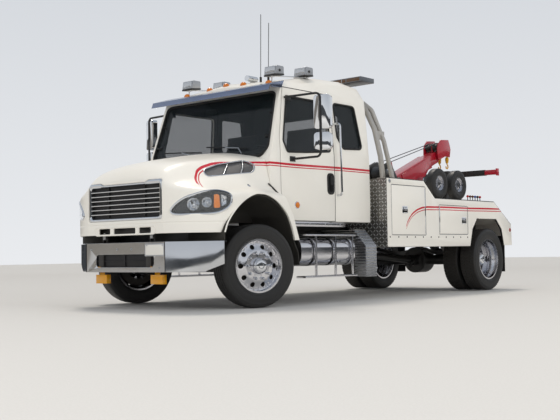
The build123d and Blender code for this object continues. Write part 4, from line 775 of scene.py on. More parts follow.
shell.materials.append(white_paint)
shell.materials.append(shell_inside)
hood = linked("hood_shell", shell)
thickness = hood.modifiers.new("wall", "SOLIDIFY")
thickness.thickness, thickness.offset, thickness.material_offset = 0.016, -1, 1
tools = []
for number, cutter in enumerate(cutters):
    tools.append(solid_object(f"hood_cutter_{number}", *cutter))
    cut = hood.modifiers.new(f"cut_{number}", "BOOLEAN")
    cut.object, cut.operation, cut.solver = tools[-1], "DIFFERENCE", "FAST"
edge = hood.modifiers.new("edge", "BEVEL")
edge.width, edge.segments, edge.angle_limit = 0.003, 2, math.radians(50)
edge.use_clamp_overlap = False
hood_mesh = baked(hood)
for spent in (hood, *tools):
    bpy.data.objects.remove(spent)
hood_mesh.name = "hood_shell"
finished("hood_shell", hood_mesh, "hood", [], 0, 40, ("hood",))

# Hood fittings: glass-fibre fender tails and arch lips, steel hinge lugs, rubber hood latches and
# chromed marker caps, bonded or screwed to the shell; the arch liners stay on the chassis.


def pipe(points, radius, sides=10):
    """A round bar along points, mitred where it turns, with closed ends."""
    points = [Vector(p) for p in points]
    runs = [(b - a).normalized() for a, b in zip(points, points[1:])]
    side = runs[0].orthogonal().normalized()
    corners, faces = [], []
    for i, point in enumerate(points):
        before, after = runs[max(i - 1, 0)], runs[min(i, len(runs) - 1)]
        flat = (before + after).normalized()
        side = (side - flat * side.dot(flat)).normalized()
        across = flat.cross(side)
        stretch = 1 / max(flat.dot(after), 0.4)
        turn = (after - before).normalized() if (after - before).length > 1e-6 else None
        for k in range(sides):
            a = 2 * math.pi * k / sides
            offset = (side * math.cos(a) + across * math.sin(a)) * radius
            if turn is not None:
                offset += turn * offset.dot(turn) * (stretch - 1)
            corners.append(tuple(point + offset))
    for i in range(len(points) - 1):
        for k in range(sides):
            n = (k + 1) % sides
            faces.append((i * sides + k, i * sides + n, (i + 1) * sides + n, (i + 1) * sides + k))
    last = (len(points) - 1) * sides
    faces += [tuple(range(sides - 1, -1, -1)), tuple(last + k for k in range(sides))]
    return corners, faces


def looped(points, radius, sides=8):
    """A round cord that closes on itself."""
    points = [Vector(p) for p in points]
    count = len(points)
    corners, faces = [], []
    for i, point in enumerate(points):
        flat = (points[(i + 1) % count] - points[i - 1]).normalized()
        side = flat.cross(Vector((0, 0.3, 1)) if abs(flat.z) < 0.9 else Vector((1, 0.2, 0))).normalized()
        across = flat.cross(side).normalized()
        if i:
            side = (last_side - flat * last_side.dot(flat)).normalized()
            across = flat.cross(side)
        last_side = side
        turns = [2 * math.pi * k / sides for k in range(sides)]
        corners += [tuple(point + (side * math.cos(a) + across * math.sin(a)) * radius) for a in turns]
    for i in range(count):
        n = (i + 1) % count
        offset = 0
        if n == 0:
            gap = [(Vector(corners[i * sides]) - Vector(corners[k])).length for k in range(sides)]
            offset = gap.index(min(gap))
        for k in range(sides):
            k2 = (k + 1) % sides
            faces.append((i * sides + k, i * sides + k2, n * sides + (k2 + offset) % sides,
                          n * sides + (k + offset) % sides))
    return corners, faces


hood_parts = []
tail_top = [1036, 1060, 1090, 1120, 1140]
tail_top += [hood_side - 55 * (1 - math.sin(math.pi / 2 * k / 6)) for k in range(1, 7)]
for side in (1, -1):
    tail_x = [-238 - 322 * i / 8 for i in range(9)]
    corners = [(x, y, shell_point(hood_back, y)[2]) for x in tail_x for y in tail_top]
    corners += [(x, y, 600) for x in tail_x for y in tail_top]
    m, n = len(tail_top), len(tail_x)
    faces = [(i * m + j, i * m + j + 1, (i + 1) * m + j + 1, (i + 1) * m + j)
             for i in range(n - 1) for j in range(m - 1)]
    faces += [tuple(n * m + k for k in reversed(face)) for face in faces]
    rim_loop = [j for j in range(m)] + [i * m + m - 1 for i in range(1, n)]
    rim_loop += [(n - 1) * m + j for j in range(m - 2, -1, -1)] + [i * m for i in range(n - 2, 0, -1)]
    faces += [(a, n * m + a, n * m + b, b) for a, b in zip(rim_loop, rim_loop[1:] + rim_loop[:1])]
    tail = solid_object("tail", [(x, y * side, z) for x, y, z in corners], faces)
    trim_line = [(-239, 1290), (-239, 1125)] + [p for p in rounded_arch() if p[0] < -241]
    trim_line += [(-542, 733), (-440, 1010), (-320, 1200)]
    tool = solid_object("tail_trim", *placed(extruded(trim_line, 1030, 1200), mirrored=side < 0))
    cut = tail.modifiers.new("trim", "BOOLEAN")
    cut.object, cut.operation, cut.solver = tool, "INTERSECT", "EXACT"
    mesh = baked(tail)
    for spent in (tail, tool):
        bpy.data.objects.remove(spent)
    hood_parts.append((([in_mm(v.co) for v in mesh.vertices], [tuple(p.vertices) for p in mesh.polygons]), 0))
fittings = [(pipe([(x, 1189, z) for x, z in rounded_arch(3)], 8, 8), 0),
            (extruded([(927, 767), (963, 767), (963, 840), (927, 840)], 372, 412), 1),
            (pipe([(-196, 1044, 1366), (-262, 1052, 1318), (-345, 1066, 1252)], 9, 8), 2),
            (disc(21, 9, (0, 0.7, 0.7), on_shell(120, 1330, -2)), 3)]
hood_parts += both(fittings)
slot_rim = rounded([(-500, 812), (500, 812), (500, 898), (-500, 898)], 42, 8)
hood_parts.append((looped([(1004.5, y, z) for y, z in slot_rim], 7, 8), 0))
assembled("hood_tails_lips_and_latches", "hood", hood_parts, [white_paint, zinc, black_rubber, chrome], 0, 38)
# Moulded liner plastic: dull and dusty brown-black with a broad grain, as road dirt leaves it
liner_plastic = surface("moulded_arch_liner_plastic", "#34322f", 0.7, tint="#27251f", grain=30, relief=3.0)
softened("arch_liners", [liner_plastic], 0)

# Headlamps, side vents and grille: chromed rims on the shell; behind a clear lens sits a dark
# bowl with two round reflectors and an amber signal; black punched mesh fills the openings.

# Ridged clear lens: a pale, slightly milky gloss over a metallised back
clear_lens = surface("moulded_clear_lens", "#c9ccd0", 0.08, 0.6, tint="#b4b8bd", grain=10, relief=0.4)
# Clear polycarbonate: nearly unseen but for its sharp reflections, so that the bowl shows through
lamp_glass = surface("clear_polycarbonate_lens", "#eef2f4", 0.02, grain=400, spread=0.0)
lamp_glass.node_tree.nodes["Principled BSDF"].inputs["Alpha"].default_value = 0.1
# Smoked bowl: dark and half-glossy, so that the bright reflectors stand out
lamp_bowl = surface("smoked_lamp_bowl", "#26292d", 0.25, 0.5, tint="#131517", grain=30, relief=0.3)
# Metallised reflector: a bright rippled mirror
lamp_mirror = surface("vapour_metallised_reflector", "#e8eaee", 0.06, 1.0, tint="#cfd3d8", grain=9,
                      relief=0.6)
# Acrylic lenses: saturated colour under a hard clear gloss; amber for markers, yellower for fog, red behind
amber_lens = surface("amber_acrylic_lens", "#e28114", 0.14, tint="#bf650c", grain=5, relief=0.3,
                     Coat_Weight=0.5, Coat_Roughness=0.03)
fog_lens = surface("yellow_amber_fog_lens", "#e2a01c", 0.16, tint="#cd8b10", grain=7, relief=0.6,
                   Coat_Weight=0.5)
red_lens = surface("red_acrylic_lens", "#a30d12", 0.12, tint="#7d070b", grain=5, relief=0.3, Coat_Weight=0.5)
# Moulded vent mesh: mid-grey plastic, its fine weave drawn as a coarse relief
vent_mesh = surface("grey_moulded_vent_mesh", "#5f5f60", 0.5, tint="#4a4a4b", grain=12, relief=3.0)


def patch(line, out, bowl=0.0, rings=9):
    """A face that follows the hood inside an outline, sunk like a bowl towards its middle."""
    middle = (sum(p[0] for p in line) / len(line), sum(p[1] for p in line) / len(line))
    corners, faces = [], []
    for ring in range(rings + 1):
        share = max(ring / rings, 0.02)
        for x, z in line:
            px, py, pz = on_shell(middle[0] + (x - middle[0]) * share, middle[1] + (z - middle[1]) * share,
                                  out)
            sink = bowl * (1 - share ** 3)
            corners.append((px - 0.72 * sink, py - 0.69 * sink, pz))
    count = len(line)
    faces.append(tuple(range(count)))
    for ring in range(rings):
        for k in range(count):
            n = (k + 1) % count
            faces.append((ring * count + k, ring * count + n, (ring + 1) * count + n, (ring + 1) * count + k))
    return corners, faces


def rolled(line, out, radius):
    """A round bead that follows an outline on the hood's face."""
    return looped([on_shell(x, z, out) for x, z in line], radius, 8)


def grown(line, distance):
    """An outline moved outwards from its middle."""
    middle = Vector((sum(p[0] for p in line) / len(line), sum(p[1] for p in line) / len(line)))
    return [tuple(Vector(p) + (Vector(p) - middle).normalized() * distance) for p in line]


lamp_parts = [(patch(grown(lamp_edge, -1), -14, 78), 0), (rolled(grown(lamp_edge, 4), 1, 13), 1),
              (rolled(grown(lamp_edge, -11), -6, 5), 2)]
spin = Vector((0, 1, 0)).rotation_difference(Vector((0.86, 0.5, 0.05))).to_matrix()
for x, z, size in ((872, 1110, 62), (770, 1128, 50)):
    seat = Vector(on_shell(x, z, -62))
    cup = turned([(-16, 1), (-12, size * 0.45), (4, size * 0.8), (30, size), (34, size + 4), (26, size + 5),
                  (-16, size * 0.6)], 40, False)
    bulb = turned([(-14, 1), (-14, size * 0.34), (14, size * 0.33), (24, size * 0.2), (27, 1)], 24, False)
    lamp_parts += [(([tuple(spin @ Vector(c) + seat) for c in shape[0]], shape[1]), finish)
                   for shape, finish in ((cup, 1), (bulb, 3))]
signal = rounded([(722, 1068), (716, 1212), (668, 1218), (664, 1072)], 16)
lamp_parts += [(patch(signal, -9, 0, 4), 4),
               (patch(rounded([(652, 1082), (650, 1220), (596, 1190), (600, 1112)], 14), -10, 26, 4), 1)]
vent_parts = [(patch(grown(vent_edge, -1), -12, 6, 5), 0), (rolled(grown(vent_edge, 3), 1, 8), 1)]
for foot, head in (((345, 1446), (168, 1588)), ((128, 1470), (-12, 1618))):
    rib = [on_shell(foot[0] + (head[0] - foot[0]) * k / 8, foot[1] + (head[1] - foot[1]) * k / 8, -3)
           for k in range(9)]
    vent_parts.append((pipe(rib, 8, 8), 2))
assembled("headlamp_bowls_and_rims", "hood", both(lamp_parts),
          [lamp_bowl, chrome, black_rubber, lamp_mirror, amber_lens], 0, 40, ("headlamps",))
assembled("headlamp_lenses", "hood", both([(patch(grown(lamp_edge, 0), 1, -6), 0)]), [lamp_glass], 0, 60)
assembled("side_vents", "hood", both(vent_parts), [vent_mesh, chrome, zinc], 0, 50, ("hood_screens",))

outer = rounded(grille_line, 40)
inner = rounded([(-568, 996), (568, 996), (568, 1346), (395, 1346), (345, 1346), (-345, 1346), (-395, 1346),
                 (-568, 1346)], 34)
count = len(outer)
# Section of the frame: each ring's x, and its share of the way from the outer to the inner outline
rings = [(975, 0), (996, 0), (1003, 0.1), (1009, 0.27), (1012, 0.45), (1011, 0.65), (1006, 0.85), (998, 1),
         (968, 1)]
corners, faces = [], []
for x, share in rings:
    corners += [(x, a[0] + (b[0] - a[0]) * share, a[1] + (b[1] - a[1]) * share) for a, b in zip(outer, inner)]
for k in range(len(rings)):
    n = (k + 1) % len(rings)
    faces += [(k * count + i, k * count + (i + 1) % count, n * count + (i + 1) % count, n * count + i)
              for i in range(count)]
grille_shapes = [((corners, faces), 0)]
bar = rounded([(975, -5), (1001, -6), (1003, 4), (975, 6)], 3, 2)
grille_shapes += [(extruded([(x, 1046 + 50 * k + z) for x, z in bar], -572, 572), 0) for k in range(6)]
grille_shapes += [(box(958, 972, y - 5, y + 5, 990, 1350), 1) for y in (-300, 300)]
grille_shapes.append((plate((-585, 980), (585, 1362), 30, (950, 958), 6, "x"), 2))
assembled("grille_frame_and_bars", "hood", grille_shapes, [chrome, chassis_enamel, grille_mesh], 0, 32,
          ("grille",))

# Cab: riveted and bonded aluminium panels in the same white, with a raised crowned roof, and
# two doors on outside hinges; the glass is tinted and set in black rubber.

# Tinted safety glass: dark and clean, a third opaque, so that the seats show dimly through it
cab_glass = surface("tinted_safety_glass", "#232b2e", 0.03, tint="#20272b", grain=400, spread=0.0)
cab_glass.node_tree.nodes["Principled BSDF"].inputs["Alpha"].default_value = 0.33
# Headlining: matt grey board, its grey kept dark as painted shade, so that the cab's inside stays dark behind
# the glass
cab_lining_with_painted_shade = surface("grey_cab_headlining_with_painted_shade", "#4d4e50", 0.85, tint="#434446", grain=5, relief=0.4)
# Faces that look into the cab, on the cab and on the doors, take the headlining, whose dark grey is painted
# shade
cab_heart = row(-1150, 0, 1750)
softened("cab", [white_paint, cab_lining_with_painted_shade], 5, 32, share=lambda p, n: int(n.dot(cab_heart - p) > 0))
softened("cab_glass", [cab_glass], 0, 30)
for word in ("left", "right"):
    softened(f"door_{word}", [white_paint, cab_lining_with_painted_shade], 4, 32, share=lambda p, n: int(n.y * p.y < -0.5))
    softened(f"door_glass_{word}", [cab_glass], 0, 30)


def cab_side_y(z):
    """Half width of the cab's outer face at a height."""
    # Height and half width where the side bends
    table = ((959, 1020), (1230, 1026), (1760, 1020), (2513, 958))
    for (z0, y0), (z1, y1) in zip(table, table[1:]):
        if z <= z1:
            return y0 + (y1 - y0) * (z - z0) / (z1 - z0)
    return table[-1][1]


def on_windshield(y, z, out=0):
    """A place on the windshield's outer plane, which leans back from its foot."""
    foot_x, foot_z, run, rise = -248, 1640, 272, 860
    return (foot_x - (z - foot_z) * run / rise + out, y, z)


front_seal = rounded([(-885, 1695), (885, 1695), (960, 1800), (905, 2455), (-905, 2455), (-960, 1800)], 80)
back_seal = rounded([(-565, 1895), (565, 1895), (565, 2385), (-565, 2385)], 60)
seals = [(looped([on_windshield(y, z, 4) for y, z in front_seal], 13), 0),
         (looped([(-2178, y, z) for y, z in back_seal], 12), 0)]
quarter = rounded([(-1497, 2415), (-1923, 2415), (-2029, 1882), (-1640, 1861), (-1527, 2000)], 55)
for side in (1, -1):
    seals.append((looped([(x, side * (cab_side_y(z) + 2), z) for x, z in quarter], 12), 0))
assembled("window_rubbers", "chassis", seals, [black_rubber], 0, 60)
window = rounded([(-557, 1749), (-497, 1880), (-609, 2405), (-1363, 2405), (-1373, 1807), (-900, 1767)], 45)
# The window's rubber, the handle as an oval dished plate with a paddle, and the amber side lamp in its bezel
door_parts = [(looped([(x, cab_side_y(z) + 2, z) for x, z in window], 11), 0)]
for low, high, corner, depth, finish in (((-1425, 1285), (-1290, 1545), 60, (1016, 1031), 0),
                                         ((-1392, 1318), (-1322, 1520), 34, (1031, 1036), 3),
                                         ((-1384, 1400), (-1330, 1512), 24, (1034, 1047), 0)):
    door_parts.append((plate(low, high, corner, depth, 8), finish))
door_parts += [(disc(34, 20, (0, 1, 0), (-715, 1024, 1141)), 2),
               (disc(42, 8, (0, 1, 0), (-715, 1022, 1141), 0.6), 1)]
for side, word in ((1, "left"), (-1, "right")):
    assembled(f"door_trim_{word}", f"door_{word}", sided(door_parts, side),
              [black_rubber, chrome, amber_lens, dark_hole], 0.8, 35)

# Cowl and wipers: a rubber strip along the foot of the windshield, steel wiper arms on their
# pivots with rubber blades, rubber pillar grips, and rivets along the sill; all screwed to the cab.

cowl_line = ((-930, 1755, 10), (-860, 1700, 16), (860, 1700, 16), (930, 1755, 10))
wiper_parts = [(pipe([on_windshield(*p) for p in cowl_line], 17, 10), 0)]
for pivot, start, end in (((590, 1742), (640, 1800), (-30, 1868)), ((-150, 1700), (-90, 1806), (-760, 1852))):
    heel, tip = on_windshield(*start, 20), on_windshield(*end, 13)
    x, y, z = Vector(heel).lerp(Vector(tip), 0.5)
    knee = on_windshield(pivot[0] - 60, pivot[1] + 70, 42)
    wiper_parts += [(pipe([heel, (x + 8, y, z + 3), tip], 8, 6), 0),
                    (pipe([on_windshield(*pivot, 30), knee, (x + 16, y, z)], 7, 6), 1)]
grip = [(-405, 905, 2210), (-455, 880, 2190), (-430, 868, 2000), (-345, 885, 1920), (-322, 925, 1925)]
wiper_parts += both([(pipe(grip, 13, 8), 0)] + [(disc(10, 6, (0, 1, 0), (x, 974, 929)), 1)
                                               for x in (-700, -1000, -1300, -1600)])
inside_mirror = plate((-330, 2300), (-130, 2372), 30, (-600, -580), 5, "x")
mirror_stalk = pipe([(-596, -230, 2372), (-560, -230, 2440), (-545, -230, 2470)], 8, 6)
wiper_parts += [(inside_mirror, 0), (mirror_stalk, 0)]
assembled("wipers_cowl_and_pillar_grips", "chassis", wiper_parts, [black_rubber, zinc], 0, 40)

# Roof and mirror fittings: polished visor, amber marker lamps, aluminium pods on rails, horn,
# grab bars and whip antennas, all screwed through the roof skin or the door.

# Satin cast aluminium: a soft grey metal with blurred reflections
satin_alloy = surface("satin_cast_aluminium", "#b4b6b9", 0.34, 0.85, tint="#a2a4a7", grain=3, relief=0.1)
# Visor steel: polished stainless, nearly a mirror; its blue-grey colour is a painted reflection of the sky
visor_steel_painted_sky = surface("polished_stainless_visor_with_painted_sky_reflection", "#939cb3", 0.16, 1.0, tint="#7e889f", grain=2,
                      relief=0.03)
softened("visor", [visor_steel_painted_sky], 1.5, 30)
softened("cab_rails", [chrome], 0, 40)
softened("antennas", [chassis_enamel], 0, 40)


def lamp_kind(low, high):
    """Which finish a lamp takes, by its place: amber roof lamp, pod, light bar, fog lamp or tail lamp."""
    if low.z > 2.78:
        return 2
    if low.z > 2.4:
        return 0 if (high.x - low.x) < 0.1 else 1
    return 4 if low.x > 3 else 3


# Anodised bar aluminium: mid-grey satin, the light bar's housing
bar_alloy = surface("grey_anodised_bar_aluminium", "#75787c", 0.35, 0.8, tint="#66696d", grain=3, relief=0.05)
# Powder-coated tube: even black with a low gloss
black_tube = surface("black_powder_coated_tube", "#161617", 0.45, tint="#1f1f20", grain=3, relief=0.1)
softened("lamps", [amber_lens, satin_alloy, bar_alloy, red_lens, fog_lens], 2, 34, pick=lamp_kind)
pod_parts = []
for x, z in ((-716, 2696), (-1270, 2751.4)):
    pod_parts += [(plate((622, z + 24), (778, z + 92), 12, (x + x0, x + x1), 4, "x"), lens)
                  for lens, x0, x1 in ((0, 70, 73.5), (1, -80, -73))]
    base = rounded([(x - 79, z - 2), (x + 79, z - 18), (x + 79, z + 2), (x - 79, z + 18)], 5, 3)
    pod_parts += [(extruded(base, 608, 792), 2), (disc(16, 10, (0, 1, 0), (x, 789, z + 50)), 2)]
assembled("beacon_pod_lenses", "chassis", both(pod_parts), [clear_lens, amber_lens, chassis_enamel], 1.0, 35)
for word in ("left", "right"):
    # a head's face lies less than 43.6 mm ahead of its middle, turned by 20 degrees, and the tube beyond it
    softened(f"mirror_{word}", [chrome, black_tube], 1.5, 34, share=lambda p, n: int(
        not (1.745 < p.z < 2.38 and abs(p.y) > 1.33 and
             (p.x - 1.7625) * 0.9397 + (abs(p.y) - 1.44) * 0.342 < 0.0436)))

# Interior: a grey moulded dash with its steering column and wheel, screwed to the cab's floor, and
# seats of foam in sewn grey cloth, softened by a short cloth run and never moved more than 7 mm.

# Dash vinyl: matt dark grey with a leather grain
dash_vinyl = surface("moulded_grey_dash_vinyl", "#3a3b3d", 0.6, tint="#2f3032", grain=3, relief=0.3)
# Seat cloth: woven grey with a soft sheen at its edges
seat_cloth = surface("grey_seat_cloth", "#4a4b4f", 0.9, tint="#3c3d41", grain=4, relief=0.8, Sheen_Weight=0.3)
softened("dashboard", [dash_vinyl], 3, 34)
source = frame["nodes"]["seats"]
bm = bmesh.new()
bm.from_mesh(source.data)
bmesh.ops.remove_doubles(bm, verts=bm.verts[:], dist=2e-5)
pads = []
for group in sorted(loose_parts(bm), key=lambda g: sum(v.co.y for v in g) / len(g)):
    index = {vertex: k for k, vertex in enumerate(group)}
    faces = {face: None for vertex in group for face in vertex.link_faces}
    mesh = bpy.data.meshes.new("seat_pad")
    mesh.from_pydata([v.co - v.normal * 0.008 for v in group], [],
                     [[index[v] for v in face.verts] for face in faces])
    pads.append(mesh)
bm.free()
most_move, channel_depth, channel_width = 0.007, 0.004, 9
front_seams, bench_seams = (-150, -75, 0, 75, 150), range(-880, 881, 110)
for mesh, name, middle, grid_size, seams in zip(
        pads, ("seat_right", "seat_bench", "seat_left"), (-520, 0, 520), (0.012, 0.016, 0.012),
        (front_seams, bench_seams, front_seams)):
    pad = linked(name, mesh)
    pad.modifiers.new("shell", "REMESH").mode = "VOXEL"
    pad.modifiers["shell"].voxel_size = grid_size
    pad.data = baked(pad)
    pad.modifiers.clear()
    rest = [v.co.copy() for v in pad.data.vertices]
    cloth = pad.modifiers.new("stuffing", "CLOTH")
    cloth.settings.use_pressure, cloth.settings.uniform_pressure_force = True, 4
    cloth.settings.effector_weights.gravity = 0
    for step in range(1, 13):
        bpy.context.scene.frame_set(step)
    pad.data = baked(pad)
    pad.modifiers.clear()
    bpy.context.scene.frame_set(1)
    for vertex, start in zip(pad.data.vertices, rest):
        move = vertex.co - start
        vertex.co = start + move * min(1, most_move / max(move.length, 1e-6))
    pad.modifiers.new("smooth", "SMOOTH").iterations = 4
    mesh = baked(pad)
    bpy.data.objects.remove(pad)
    # The sewn channels are drawn in along the seams, across the seat
    normals = [vertex.normal.copy() for vertex in mesh.vertices]
    for vertex, normal in zip(mesh.vertices, normals):
        gap = min(abs(vertex.co.y * 1000 - middle - seam) for seam in seams)
        vertex.co -= normal * channel_depth * math.exp(-(gap / channel_width) ** 2)
    pad = finished(name, mesh, "chassis", [seat_cloth], 0, 60, ("seats",) if name == "seat_bench" else ())

# Fuel tanks and steps: rolled polished aluminium drums in rubber-lined straps, with ribbed
# aluminium treads and a bright step box behind them.

softened("fuel_tanks", [polished_alloy], 0, 30)
# Ribbed aluminium: bright with dark lines across, drawn coarser than the rolled ribs
ribbed_alloy = surface("ribbed_bright_aluminium", "#c9cacc", 0.2, 1.0, tint="#b9babd", grain=3)
ribs = add(ribbed_alloy.node_tree, "ShaderNodeTexWave",
           {"Vector": add(ribbed_alloy.node_tree, "ShaderNodeTexCoord").outputs["Object"], "Scale": 9.0},
           bands_direction="Z", wave_profile="SIN")
ribs = add(ribbed_alloy.node_tree, "ShaderNodeBump", {"Height": ribs.outputs["Fac"], "Distance": 0.004,
                                                      "Strength": 0.8})
ribbed_gloss = ribbed_alloy.node_tree.nodes["Principled BSDF"]
ribbed_alloy.node_tree.links.new(ribs.outputs[0], ribbed_gloss.inputs["Normal"])
# The ribbed treads are the loose boxes; only faces behind this place belong to them
step_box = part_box("bright_steps")[0][0] + 0.32
softened("bright_steps", [polished_alloy, ribbed_alloy], 1.5, 30, share=lambda p, n: int(p.x < step_box))

# Strap rubber: black and dull against the polished drum
strap_rubber = surface("black_strap_rubber", "#161616", 0.6, tint="#202020", grain=4, relief=0.2)
drum = rounded([(560, 440), (1130, 440), (1130, 760), (560, 760)], 120, 10)


def hoop(line, grow, x0, x1):
    """A flat band round an outline in front view, between two x places."""
    middle = Vector((845, 600))
    wide = [tuple(Vector(p) + (Vector(p) - middle).normalized() * grow) for p in line]
    slim = [tuple(Vector(p) + (Vector(p) - middle).normalized()) for p in line]
    count = len(line)
    corners = [(x, y, z) for x, ring in ((x0, slim), (x0, wide), (x1, wide), (x1, slim)) for y, z in ring]
    return corners, [(r * count + i, r * count + (i + 1) % count, (r + 1) % 4 * count + (i + 1) % count,
                      (r + 1) % 4 * count + i) for r in range(4) for i in range(count)]


strap_parts = []
for x in (-893, -1257, -1611):
    strap_parts += [(hoop(drum, 4, x - 34, x + 34), 0), (hoop(drum, 7, x - 24, x + 24), 1),
                    (box(x - 20, x + 20, 1120, 1142, 590, 640), 2)]
filler = turned([(0, 1), (0, 52), (22, 54), (30, 46), (32, 1)], 24, False)
strap_parts.append((placed(filler, -760, 1050, 690), 2))
assembled("tank_straps_and_caps", "chassis", both(strap_parts), [strap_rubber, polished_alloy, chrome], 0.6,
          35)

# Wrecker body: white painted steel sides with recessed lockers, a diamond-plate bulkhead and
# deck, a tube pylon with the light bar, and rubber mud flaps behind the rear wheels.

# Tread plate: rolled aluminium with raised lozenges, painted bright on them as a painted highlight and grey
# between them as painted shade
tread_plate = surface("aluminium_tread_plate_with_painted_light", "#b9bbbe", 0.3, 0.9, tint="#a5a7ab", grain=5, relief=0.1)


def lozenges(metal, pitch):
    """Raises rolled lozenges, laid both ways in turn, on a metal, and colours their tops bright as a painted
    highlight and the flat between them dark as painted shade; the pitch is in mm and drawn coarse.
    """
    tree = metal.node_tree
    gloss = tree.nodes["Principled BSDF"]
    place = add(tree, "ShaderNodeSeparateXYZ", {0: add(tree, "ShaderNodeTexCoord").outputs["Object"]})
    facing = add(tree, "ShaderNodeSeparateXYZ", {0: add(tree, "ShaderNodeNewGeometry").outputs["Normal"]})
    # Each sum by name: walls are measured along x and y and up z, level faces along x and y
    sums = {"x": place.outputs["X"], "y": place.outputs["Y"], "z": place.outputs["Z"],
            "up": facing.outputs["Z"]}
    for name, kind, a, b in (
            ("flat", "ABSOLUTE", "up", 0), ("level", "GREATER_THAN", "flat", 0.7),
            ("wall", "SUBTRACT", 1, "level"), ("side", "MULTIPLY", "y", "wall"),
            ("along", "ADD", "x", "side"), ("high", "MULTIPLY", "z", "wall"), ("deep", "MULTIPLY", "y", "level"),
            ("rise", "ADD", "high", "deep"), ("u", "DIVIDE", "along", pitch / 1000),
            ("v", "DIVIDE", "rise", pitch / 1000), ("column", "FLOOR", "u", 0), ("line", "FLOOR", "v", 0),
            ("cell", "ADD", "column", "line"), ("odd", "FLOORED_MODULO", "cell", 2),
            ("twice", "MULTIPLY", "odd", 2), ("turn", "SUBTRACT", "twice", 1), ("u_part", "FRACT", "u", 0),
            ("across", "SUBTRACT", "u_part", 0.5), ("v_part", "FRACT", "v", 0),
            ("half", "SUBTRACT", "v_part", 0.5), ("upward", "MULTIPLY", "half", "turn"),
            ("long", "ADD", "across", "upward"), ("wide", "SUBTRACT", "across", "upward"),
            ("long2", "MULTIPLY", "long", "long"), ("wide2", "MULTIPLY", "wide", "wide"),
            ("long_reach", "MULTIPLY", "long2", 1.6), ("wide_reach", "MULTIPLY", "wide2", 22),
            ("reach", "ADD", "long_reach", "wide_reach")):
        sums[name] = add(tree, "ShaderNodeMath", {0: sums.get(a, a), 1: sums.get(b, b)}, operation=kind)
    height = add(tree, "ShaderNodeMapRange", {0: sums["reach"], 1: 0.9, 2: 0.35, 3: 0.0, 4: 1.0})
    # Painted highlight and shade: the raised lozenges are coloured bright, the flat between them dark
    shade = add(tree, "ShaderNodeMix", {0: height, 6: linear("#7b7975"), 7: linear("#e3e3e0")},
                data_type="RGBA")
    tree.links.new(shade.outputs[2], gloss.inputs["Base Color"])
    bump = add(tree, "ShaderNodeBump", {"Height": height, "Distance": 0.006, "Strength": 1.0})
    tree.links.new(bump.outputs[0], gloss.inputs["Normal"])


lozenges(tread_plate, 46)
# The arch's inner faces are black; the outer skin and the lockers are white
for word in ("left", "right"):
    softened(f"body_side_{word}", [white_paint, chassis_enamel], 4, 32, share=lambda p, n: int(
        -2.96 < p.x < -1.9 and p.z < 1.06 and (abs(n.y) < 0.5 or n.y * p.y < 0) and abs(p.y) > 0.7))
    for place in ("front", "middle"):
        softened(f"locker_door_{place}_{word}", [white_paint], 3, 32)
for node in ("bulkhead", "deck"):
    softened(node, [tread_plate], 1, 30)
# Silver-painted tube: pale warm grey with a metal flake's low gloss
pylon_silver = surface("silver_painted_pylon_tube", "#b9b6b0", 0.4, 0.45, tint="#a8a49d", grain=8, relief=0.1)
softened("pylon", [pylon_silver], 0, 34)
# Flap rubber: thick black sheet, matt and slightly grained
flap_rubber = surface("black_flap_rubber", "#141414", 0.7, tint="#1c1b1a", grain=6, relief=0.4)
softened("deck_fittings", [chassis_enamel, flap_rubber], 1.5, 34, pick=lambda low, high: int(high.z < 0.81))

# Pylon studs: each tube's line and radius
studs = []
for line, radius in (([(-2344, 1083, 1810), (-2344, 996, 2170), (-2344, 857, 2446)], 34),
                     ([(-2564, 1112, 1560), (-2488, 1040, 2020), (-2408, 912, 2430)], 30)):
    for start, end in zip(line, line[1:]):
        for k in range(4):
            x, y, z = Vector(start).lerp(Vector(end), (k + 0.5) / 4)
            studs.append((disc(9, 9, (-1, 0, 0), (x - radius + 2, y, z), 0.5, 10), 0))
assembled("pylon_studs", "chassis", both(studs), [zinc], 0, 40)

# Each locker's frame in side view, the middle of its latch, and the x of its hinge
lockers = {"front": ((-3202, 805), (-2400, 1443), (-2702, 1129), -3194),
           "middle": ((-4320, 820), (-3555, 1212), (-4217, 1011), -3563)}
# Locker seal: mid-grey and matt, a soft line round each door
grey_seal = surface("grey_locker_seal", "#6b6d70", 0.6, tint="#5b5d60", grain=4, relief=0.1)
top_edge = [(-2304, 1527), (-3168, 1527), (-3448, 1303), (-5118, 1303), (-5638, 977), (-5652, 670)]
arch_edge = [(-5398, 664), (-5330, 902), (-5167, 1047), (-4592, 1047), (-4460, 902), (-4385, 655)]
body_trim = [(pipe([(x, 1188, z) for x, z in top_edge], 9, 6), 0),
             (pipe([(x, 1194, z) for x, z in arch_edge], 7, 6), 0)]
body_trim += [(disc(12, 4, (0, 1, 0), (-2350 - 196 * k, 1198, 775), 0.5, 10), 0) for k in range(11)]
for (x0, z0), (x1, z1), _, _ in lockers.values():
    seal = rounded([(x0 - 6, z0 - 6), (x1 + 6, z0 - 6), (x1 + 6, z1 + 6), (x0 - 6, z1 + 6)], 22, 4)
    body_trim.append((looped([(x, 1196, z) for x, z in seal], 6, 6), 2))
body_trim += [(disc(34, 14, (0, 1, 0), (-2360, 1188, 1490), 0.5), 1),
              (disc(24, 20, (0, 1, 0), (-2360, 1180, 1490), 0.5), 3),
              (disc(36, 12, (0, 1, 0), (-5604, 1190, 890), 0.4), 4)]
body_trim += [(disc(58, 6, (-1, 0, 0), (-5658, y, 815), 0.3, 28), 0) for y in (810, 940, 1070)]
